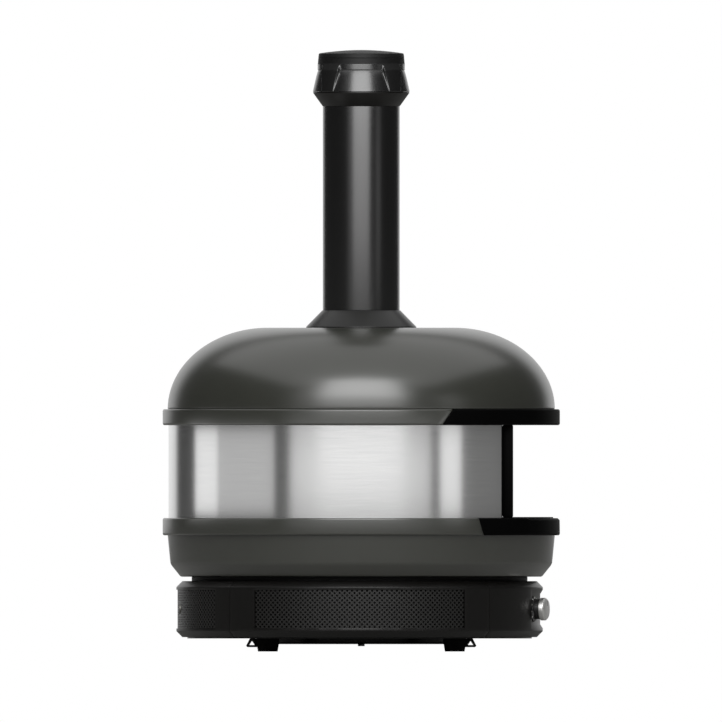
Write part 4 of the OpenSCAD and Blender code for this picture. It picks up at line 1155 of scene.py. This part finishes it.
@dataclass
class RainCap:
    """The chimney's flared cap: a lower cone, a hood with four windows, and a crowned lid."""

    foot: float = 817.0
    spigot_foot: float = 787.0
    spigot_radius: float = 56.0
    bore: float = 54.5
    cone_foot_radius: float = 58.0
    cone_radius: float = 72.0
    cone_top: float = 838.5
    cone_edge: float = 2.0
    ledge: float = 824.0
    ledge_radius: float = 60.5
    hood_foot: float = 838.6
    hood_radius: float = 73.3
    shoulder: float = 871.0
    shoulder_radius: float = 69.5
    neck: float = 881.0
    neck_radius: float = 65.0
    seam: float = 889.0
    seam_radius: float = 64.4
    hood_sheet: float = 1.5
    skirt_foot: float = 836.0
    skirt_radius: float = 63.1
    window_top: float = 880.0
    window_foot_half: float = 41.6
    window_top_half: float = 31.0
    window_corner: float = 4.0
    floor_foot_radius: float = 72.6
    floor_top_radius: float = 65.4
    floor_step: float = 1.0
    step_length: float = 5.0
    floor_depth: float = 0.25
    wall_width: float = 2.8
    floor_share: float = 0.30
    wall_share: float = 0.36
    post_share: float = 0.5
    floor_steps: int = 8
    side_steps: int = 5
    wall_rows: int = 14
    slope_rows: int = 8
    row_margin: float = 1.5
    bend_margin: float = 0.6
    top_margin: float = 0.2
    edge_margin: float = 0.3
    neck_margin: float = 1.0
    lid_edge: float = 896.0
    lid_top: float = 901.0
    lid_radius: float = 63.4
    lid_edge_foot: float = 0.9
    lid_edge_head: float = 0.3
    lid_edge_flare: float = 0.2
    lid_edge_inset: float = 0.1
    crown_steps: int = 24
    groove: float = 0.5

    def outer_radius(self, height: float) -> float:
        """Give the hood's outer radius at a height."""
        line = [(self.hood_foot, self.hood_radius), (self.shoulder, self.shoulder_radius),
                (self.neck, self.neck_radius), (self.seam, self.seam_radius)]
        for (z0, r0), (z1, r1) in zip(line, line[1:]):
            if height <= z1:
                return r0 + (r1 - r0) * (height - z0) / (z1 - z0)
        return self.seam_radius

    def floor_radius(self, height: float) -> float:
        """Give the radius of the windows' floor at a height: a flare with a small step at the shoulder."""
        below = self.shoulder - height
        if below <= 0:
            return min(self.floor_top_radius, self.outer_radius(height))
        share = below / (self.shoulder - self.hood_foot)
        flare = self.floor_top_radius + (self.floor_foot_radius - self.floor_top_radius) * share
        return flare - self.floor_step * math.exp(-below / self.step_length)

    def window_half(self, height: float) -> float:
        """Give half the window's width at a height, rounded in at its upper corners."""
        share = (height - self.hood_foot) / (self.window_top - self.hood_foot)
        half = self.window_foot_half + (self.window_top_half - self.window_foot_half) * share
        over = height - (self.window_top - self.window_corner)
        if over > 0:
            half -= self.window_corner - math.sqrt(max(self.window_corner ** 2 - over ** 2, 0.0))
        return half

    def heights(self) -> list[float]:
        """List the hood's rows from its foot to its seam, closer where the shape turns."""
        rows = [self.hood_foot + self.groove]
        rows += spaced(self.hood_foot + self.row_margin, self.shoulder - self.row_margin, self.wall_rows)
        rows += [self.shoulder - self.bend_margin, self.shoulder + self.bend_margin]
        rows += spaced(self.shoulder + 2 * self.bend_margin, self.window_top - self.top_margin, self.slope_rows)
        rows += [self.window_top + self.edge_margin, self.neck, self.neck + self.neck_margin,
                 self.seam - self.neck_margin, self.seam - self.groove]
        return rows

    def hood_column(self, share: float) -> list[Vector]:
        """Place the hood's outer points at one place between a window's middle and the next one's.

        Args:
            share: Place from 0, one window's middle, to 4, all the way round.

        Returns:
            The points from the foot to the seam.
        """
        window = round(share)
        off = share - window
        column = []
        for z in self.heights():
            outer = self.outer_radius(z)
            inside, wall, post = self.floor_share, self.wall_share, self.post_share
            half = self.window_half(min(z, self.window_top))
            edge = math.asin(half / outer)
            end = edge + self.wall_width / outer
            place = abs(off)
            if place <= inside:
                angle, deep = edge * place / inside, 1.0
            elif place <= wall:
                step = (place - inside) / (wall - inside)
                angle, deep = edge + (end - edge) * step, 0.5 + 0.5 * math.cos(math.pi * step)
            else:
                angle, deep = end + (math.pi / 4 - end) * (place - wall) / (post - wall), 0.0
            if z > self.window_top:
                deep = 0.0
            r = outer - (outer - self.floor_radius(z)) * deep
            turn = window * math.pi / 2 + math.copysign(angle, off)
            column.append(on_circle(r, turn, z))
        return column

    def hood(self) -> bpy.types.Mesh:
        """Make the hood: its outer side, its inner skirt and the sheet under the lid."""
        steps = spaced(0.0, self.floor_share, self.floor_steps)
        steps += spaced(self.floor_share, self.wall_share, self.side_steps)[1:]
        steps += [*spaced(self.wall_share, self.post_share, self.side_steps)[1:-1], self.post_share]
        offs = sorted({*steps, *(-s for s in steps if s < self.post_share)})
        shares = [w + off for w in range(4) for off in offs]
        columns = []
        inner = self.skirt_radius
        skirt = inner - self.hood_sheet
        for share in shares:
            points = self.hood_column(share)
            flat = Vector((points[0].x, points[0].y, 0)).normalized()
            inside = [(self.bore, self.seam), (self.bore, self.seam - self.hood_sheet),
                      (skirt, self.seam - self.hood_sheet), (skirt, self.skirt_foot), (inner, self.skirt_foot),
                      (inner, self.shoulder), (self.floor_foot_radius - self.hood_sheet, self.hood_foot)]
            low = (Vector((points[0].x, points[0].y, 0)).length / MM - self.groove, self.hood_foot)
            high = (self.seam_radius - self.groove, self.seam)
            section = [low, high, *inside]
            first, *rest = [Vector((flat.x * r, flat.y * r, z)) * MM for r, z in section]
            columns.append([first, *points, *rest])
        return grid_mesh(columns, ring=True)

    def mark_floors(self, mesh: bpy.types.Mesh) -> None:
        """Give the windows' floors and walls the hood's second material."""
        for face in mesh.polygons:
            middle = face.center / MM
            radius = math.hypot(middle.x, middle.y)
            inside = self.hood_foot < middle.z < self.window_top
            outward = face.normal.x * middle.x + face.normal.y * middle.y > 0
            if inside and outward and radius < self.outer_radius(middle.z) - self.floor_depth:
                face.material_index = 1

    def build(self) -> None:
        """Make the cone, the hood and the lid."""
        cone = rounded([
            (self.bore, self.spigot_foot, CUT), (self.spigot_radius, self.spigot_foot, EASED),
            (self.spigot_radius, self.foot, 0.0), (self.cone_foot_radius, self.foot, BROKEN),
            (self.cone_radius, self.cone_top - self.cone_edge, BENT), (self.cone_radius, self.cone_top, SOFT),
            (self.cone_radius - self.cone_edge, self.cone_top, EASED), (self.ledge_radius, self.ledge, EASED),
            (self.bore, self.ledge, BROKEN)])
        fit(turned(cone, MIDDLE_TURN), "cap_cone", [MATT_BLACK], Body.CAP, Slot.BLACK, "cap_base")
        piece = fit(self.hood(), "cap_hood_shell", [DEEP_BLACK, SATIN_BLACK], Body.CAP, Slot.BLACK, "cap_hood")
        self.mark_floors(piece.data)
        rise = self.lid_top - self.lid_edge
        crown = [(self.lid_radius * out, self.lid_edge + rise * (1 - out ** 2))
                 for out in spaced(1.0, 0.0, self.crown_steps)]
        lid = [(0.0, self.seam), (self.seam_radius - self.groove, self.seam),
               (self.seam_radius, self.seam + self.groove),
               (self.lid_radius + self.lid_edge_flare, self.lid_edge - self.lid_edge_foot),
               (self.lid_radius - self.lid_edge_inset, self.lid_edge - self.lid_edge_head), *crown[1:]]
        fit(turned(lid, MIDDLE_TURN), "cap_crown", [DEEP_BLACK], Body.CAP, Slot.BLACK, "cap_lid")


@dataclass
class Chimney:
    """The flue tube."""

    radius: float = 57.6
    sheet: float = 1.2
    foot: float = 511.0
    height: float = 306.0

    def build(self) -> None:
        """Make the tube."""
        inner = self.radius - self.sheet
        head = self.foot + self.height
        section = rounded([(inner, self.foot, BROKEN), (self.radius, self.foot, ROUNDED),
                           (self.radius, head, ROUNDED), (inner, head, BROKEN)])
        fit(turned(section, MIDDLE_TURN), "flue_pipe", [SATIN_BLACK], Body.CHIMNEY, Slot.BLACK, "flue_tube")


@dataclass
class Feet:
    """The rubber feet and their brackets with three-cornered eyelets."""

    pad_softness: float = 1.2
    bracket_softness: float = 0.35

    def build(self) -> None:
        """Make the pads and the brackets."""
        fit(softened("foot_pads", self.pad_softness), "rubber_feet", [FOOT_RUBBER], Body.OVEN, Slot.RUBBER,
            "foot_pads")
        fit(softened("foot_brackets", self.bracket_softness), "foot_stays", [MATT_BLACK], Body.OVEN, Slot.BLACK,
            "foot_brackets")


@dataclass(frozen=True)
class SoftPiece:
    """How a CAD node is dressed again: the piece's name, the width of its softened edges, its finish and its slot."""

    name: str
    softness: float
    finish: Finish
    slot: Slot


@dataclass
class InnerWorks:
    """What the mouth or the underside shows: CAD nodes in their finishes, with softened edges where it matters."""

    soft: dict[str, SoftPiece] = field(default_factory=lambda: {
        "pizza_stone": SoftPiece("stone_slab", 1.5, BAKING_STONE, Slot.STONE),
        "lower_deck": SoftPiece("floor_deck", 0.3, SOOT_BLACK, Slot.BLACK),
        "burner": SoftPiece("burner_tube", 0.4, LINER_STEEL, Slot.LINER),
        "gas_inlet": SoftPiece("inlet_fitting", 0.5, NICKELLED_BRASS, Slot.BRASS),
    })
    plain: dict[str, Finish] = field(default_factory=lambda: {
        "foot_screws": ZINC_PLATE, "base_plate": MATT_BLACK, "under_pan": MATT_BLACK, "pan_bolt": ZINC_PLATE,
        # The vent baffle is painted shade: a black sheet inside the base that keeps the grille holes dark, as the
        # base's shaded inside would.
        "vent_baffle": MATT_BLACK, "valve_spindle": ZINC_PLATE, "valve_plunger": ZINC_PLATE, "gas_valve": CAST_ALLOY,
        "inlet_bracket": ZINC_PLATE, "inlet_nut": TURNED_BRASS, "supply_pipe": ZINC_PLATE, "feed_pipe": ZINC_PLATE,
        "burner_posts": LINER_STEEL, "igniter": GLAZED_CERAMIC, "neck_screws": ZINC_PLATE,
        "floor_insulation": CERAMIC_WOOL, "stone_tray": LINER_STEEL, "wall_insulation": CERAMIC_WOOL,
        "inner_wall": LINER_STEEL, "left_cheek": LINER_STEEL, "right_cheek": LINER_STEEL,
        "upper_deck": SOOT_BLACK, "inner_dome": LINER_STEEL, "dome_insulation": CERAMIC_WOOL,
        "flue_throat": LINER_STEEL, "cap_struts": SATIN_BLACK,
    })

    def build(self) -> None:
        """Soften and dress the inner pieces."""
        for node, piece in self.soft.items():
            fit(softened(node, piece.softness), piece.name, [piece.finish], Body.OVEN, piece.slot, node)
        for node, finish in self.plain.items():
            keep(node, finish)


# Studio, in metres


def area_light(name: str, width: float, height: float, radiance: float) -> bpy.types.Object:
    """Make a lit rectangle that reflections and surfaces see, and the camera doesn't.

    Args:
        name: The light's name.
        width: Its width.
        height: Its height.
        radiance: How bright it looks, where one is white.

    Returns:
        The light, at the origin, shining down.
    """
    lamp = bpy.data.lights.new(name, "AREA")
    lamp.shape = "RECTANGLE"
    lamp.size, lamp.size_y = width, height
    lamp.energy = radiance * math.pi * width * height
    light = linked(name, lamp)
    light.visible_camera = False
    return light


def seen_directly(tree: bpy.types.NodeTree) -> bpy.types.NodeSocket:
    """Give the socket that is one for what the camera sees, also through glass, and zero for other rays."""
    path = add_node(tree, "ShaderNodeLightPath").outputs
    return add_node(tree, "ShaderNodeMath", links={0: path["Is Camera Ray"], 1: path["Is Transmission Ray"]},
                    operation="MAXIMUM").outputs[0]


@dataclass
class SoftBox:
    """An upright lit panel round the oven. Bearings are measured from the camera, positive to its right."""

    name: str
    bearings: tuple[float, float]
    heights: tuple[float, float]
    radiance: float
    distance: float = 2.0

    def build(self) -> None:
        """Hang the panel, upright and facing the oven."""
        (left, right), (foot, head) = self.bearings, self.heights
        width = 2 * self.distance * math.tan(math.radians((right - left) / 2))
        light = area_light(self.name, width, head - foot, self.radiance)
        middle = math.radians((left + right) / 2)
        away = Vector((-math.cos(middle), -math.sin(middle), 0))
        light.location = away * self.distance + Vector((0, 0, (foot + head) / 2))
        light.rotation_euler = away.to_track_quat("Z", "Y").to_euler()


@dataclass
class Studio:
    """A white studio with a pale floor, lit panels in front and at the sides, a lit ceiling, and the camera."""

    panels: list[SoftBox] = field(default_factory=lambda: [
        SoftBox("front_light", (-24.5, 24.5), (1.05, 2.6), radiance=5.2),
        SoftBox("front_middle_light", (-24.5, 24.5), (0.48, 1.05), radiance=2.45),
        SoftBox("front_left_light", (-39.0, -24.5), (0.48, 1.7), radiance=0.5),
        SoftBox("front_low_light", (-40.0, 39.0), (0.12, 0.48), radiance=0.2),
        SoftBox("front_near_light", (-37.7, 36.8), (0.2, 0.34), radiance=0.8, distance=0.8),
        SoftBox("left_grey_light", (-67.8, -37.4), (0.205, 0.335), radiance=0.58, distance=0.45),
        SoftBox("left_strip_light", (-85.9, -67.8), (0.205, 0.335), radiance=1.1, distance=0.45),
        SoftBox("right_strip_light", (44.5, 58.5), (0.4, 1.1), radiance=0.6),
        SoftBox("right_near_light", (35.9, 47.0), (0.2, 0.34), radiance=1.0, distance=0.55),
        SoftBox("right_grey_light", (48.9, 72.2), (0.2, 0.34), radiance=0.14, distance=0.55),
    ])
    ceiling_size: float = 6.0
    ceiling_height: float = 3.2
    ceiling_radiance: float = 0.85
    fill: float = 0.35
    dark: float = 0.06
    backdrop_edge: float = 38.0
    backdrop_core: float = 29.0
    floor_shade: str = "#949492"
    floor_roughness: float = 0.9
    floor_size: float = 16.0
    floor_glow: float = 0.65
    shadow_reach: float = 0.9
    white_from: float = 2.4
    aim_height: float = 0.43515
    camera_distance: float = 4.0
    camera_shift: float = 0.0004
    frame_width: float = 1.0815

    def world(self) -> None:
        """Make the world: white to the camera and behind the oven, a dim room elsewhere."""
        world = bpy.data.worlds.new("studio")
        bpy.context.scene.world = world
        world.use_nodes = True
        tree = world.node_tree
        path = add_node(tree, "ShaderNodeLightPath").outputs
        way = add_node(tree, "ShaderNodeTexCoord").outputs["Generated"]
        along = add_node(tree, "ShaderNodeSeparateXYZ", links={0: way}).outputs["X"]
        room = add_node(tree, "ShaderNodeMapRange", {
            "From Min": math.cos(math.radians(self.backdrop_edge)),
            "From Max": math.cos(math.radians(self.backdrop_core)), "To Min": self.dark},
            {"Value": along}, interpolation_type="SMOOTHSTEP").outputs["Result"]
        shine = add_node(tree, "ShaderNodeMix", {2: self.fill}, {0: path["Is Glossy Ray"], 3: room}).outputs[0]
        strength = add_node(tree, "ShaderNodeMix", {3: 1.0}, {0: seen_directly(tree), 2: shine}).outputs[0]
        tree.links.new(strength, tree.nodes["Background"].inputs["Strength"])
        tree.nodes["Background"].inputs["Color"].default_value = WHITE

    def ceiling(self) -> None:
        """Hang the soft light overhead."""
        light = area_light("ceiling_light", self.ceiling_size, self.ceiling_size, self.ceiling_radiance)
        light.location = (0, 0, self.ceiling_height)

    def floor(self) -> None:
        """Lay the pale floor. It glows for the camera, more with distance, and keeps the oven's shadow."""
        half = self.floor_size / 2
        mesh = bpy.data.meshes.new("studio_floor")
        corners = [(-half, -half, 0), (half, -half, 0), (half, half, 0), (-half, half, 0)]
        mesh.from_pydata(corners, [], [(0, 1, 2, 3)])
        material = bpy.data.materials.new("pale_studio_floor")
        material.use_nodes = True
        tree = material.node_tree
        shader = tree.nodes["Principled BSDF"]
        shader.inputs["Base Color"].default_value = linear(self.floor_shade)
        shader.inputs["Roughness"].default_value = self.floor_roughness
        shader.inputs["Specular IOR Level"].default_value = 0.0
        place = add_node(tree, "ShaderNodeTexCoord").outputs["Object"]
        away = add_node(tree, "ShaderNodeVectorMath", links={0: place}, operation="LENGTH").outputs["Value"]
        level = add_node(tree, "ShaderNodeMapRange", {
            "From Min": self.shadow_reach, "From Max": self.white_from, "To Min": self.floor_glow, "To Max": 1.0},
            {"Value": away}, interpolation_type="SMOOTHSTEP").outputs["Result"]
        glow = add_node(tree, "ShaderNodeMath", links={0: seen_directly(tree), 1: level},
                        operation="MULTIPLY").outputs[0]
        shader.inputs["Emission Color"].default_value = WHITE
        tree.links.new(glow, shader.inputs["Emission Strength"])
        mesh.materials.append(material)
        floor = linked("studio_floor", mesh)

    def camera(self) -> None:
        """Set a level camera square to the left side. The photograph shows no perspective, so it is orthographic."""
        lens = bpy.data.cameras.new("photo_camera")
        lens.type = "ORTHO"
        lens.ortho_scale = self.frame_width
        eye = linked("photo_camera", lens)
        eye.location = (-self.camera_distance, self.camera_shift, self.aim_height)
        eye.rotation_euler = (math.radians(90), 0, math.radians(-90))
        bpy.context.scene.camera = eye

    def build(self) -> None:
        """Set up the world, the floor, the lights and the camera."""
        bpy.context.scene.view_settings.view_transform = "Standard"
        self.world()
        self.floor()
        self.ceiling()
        for panel in self.panels:
            panel.build()
        self.camera()


def main() -> None:
    """Dress the oven and set up the studio."""
    logging.basicConfig(level=logging.INFO, format="%(name)s: %(message)s")
    Studio().build()
    RimRing("upper", foot=339.0, height=24.0, seam_top=137.0, seam_foot=121.0).build()
    RimRing("lower", foot=174.0, height=26.0, seam_top=176.0, seam_foot=183.5, bevel=3.5).build()
    for assembly in (UpperShell, SteelWall, LowerBody, BaseDrum, GasKnob, RainCap, Chimney, Feet, InnerWorks):
        assembly().build()


if __name__ == "__main__":
    main()
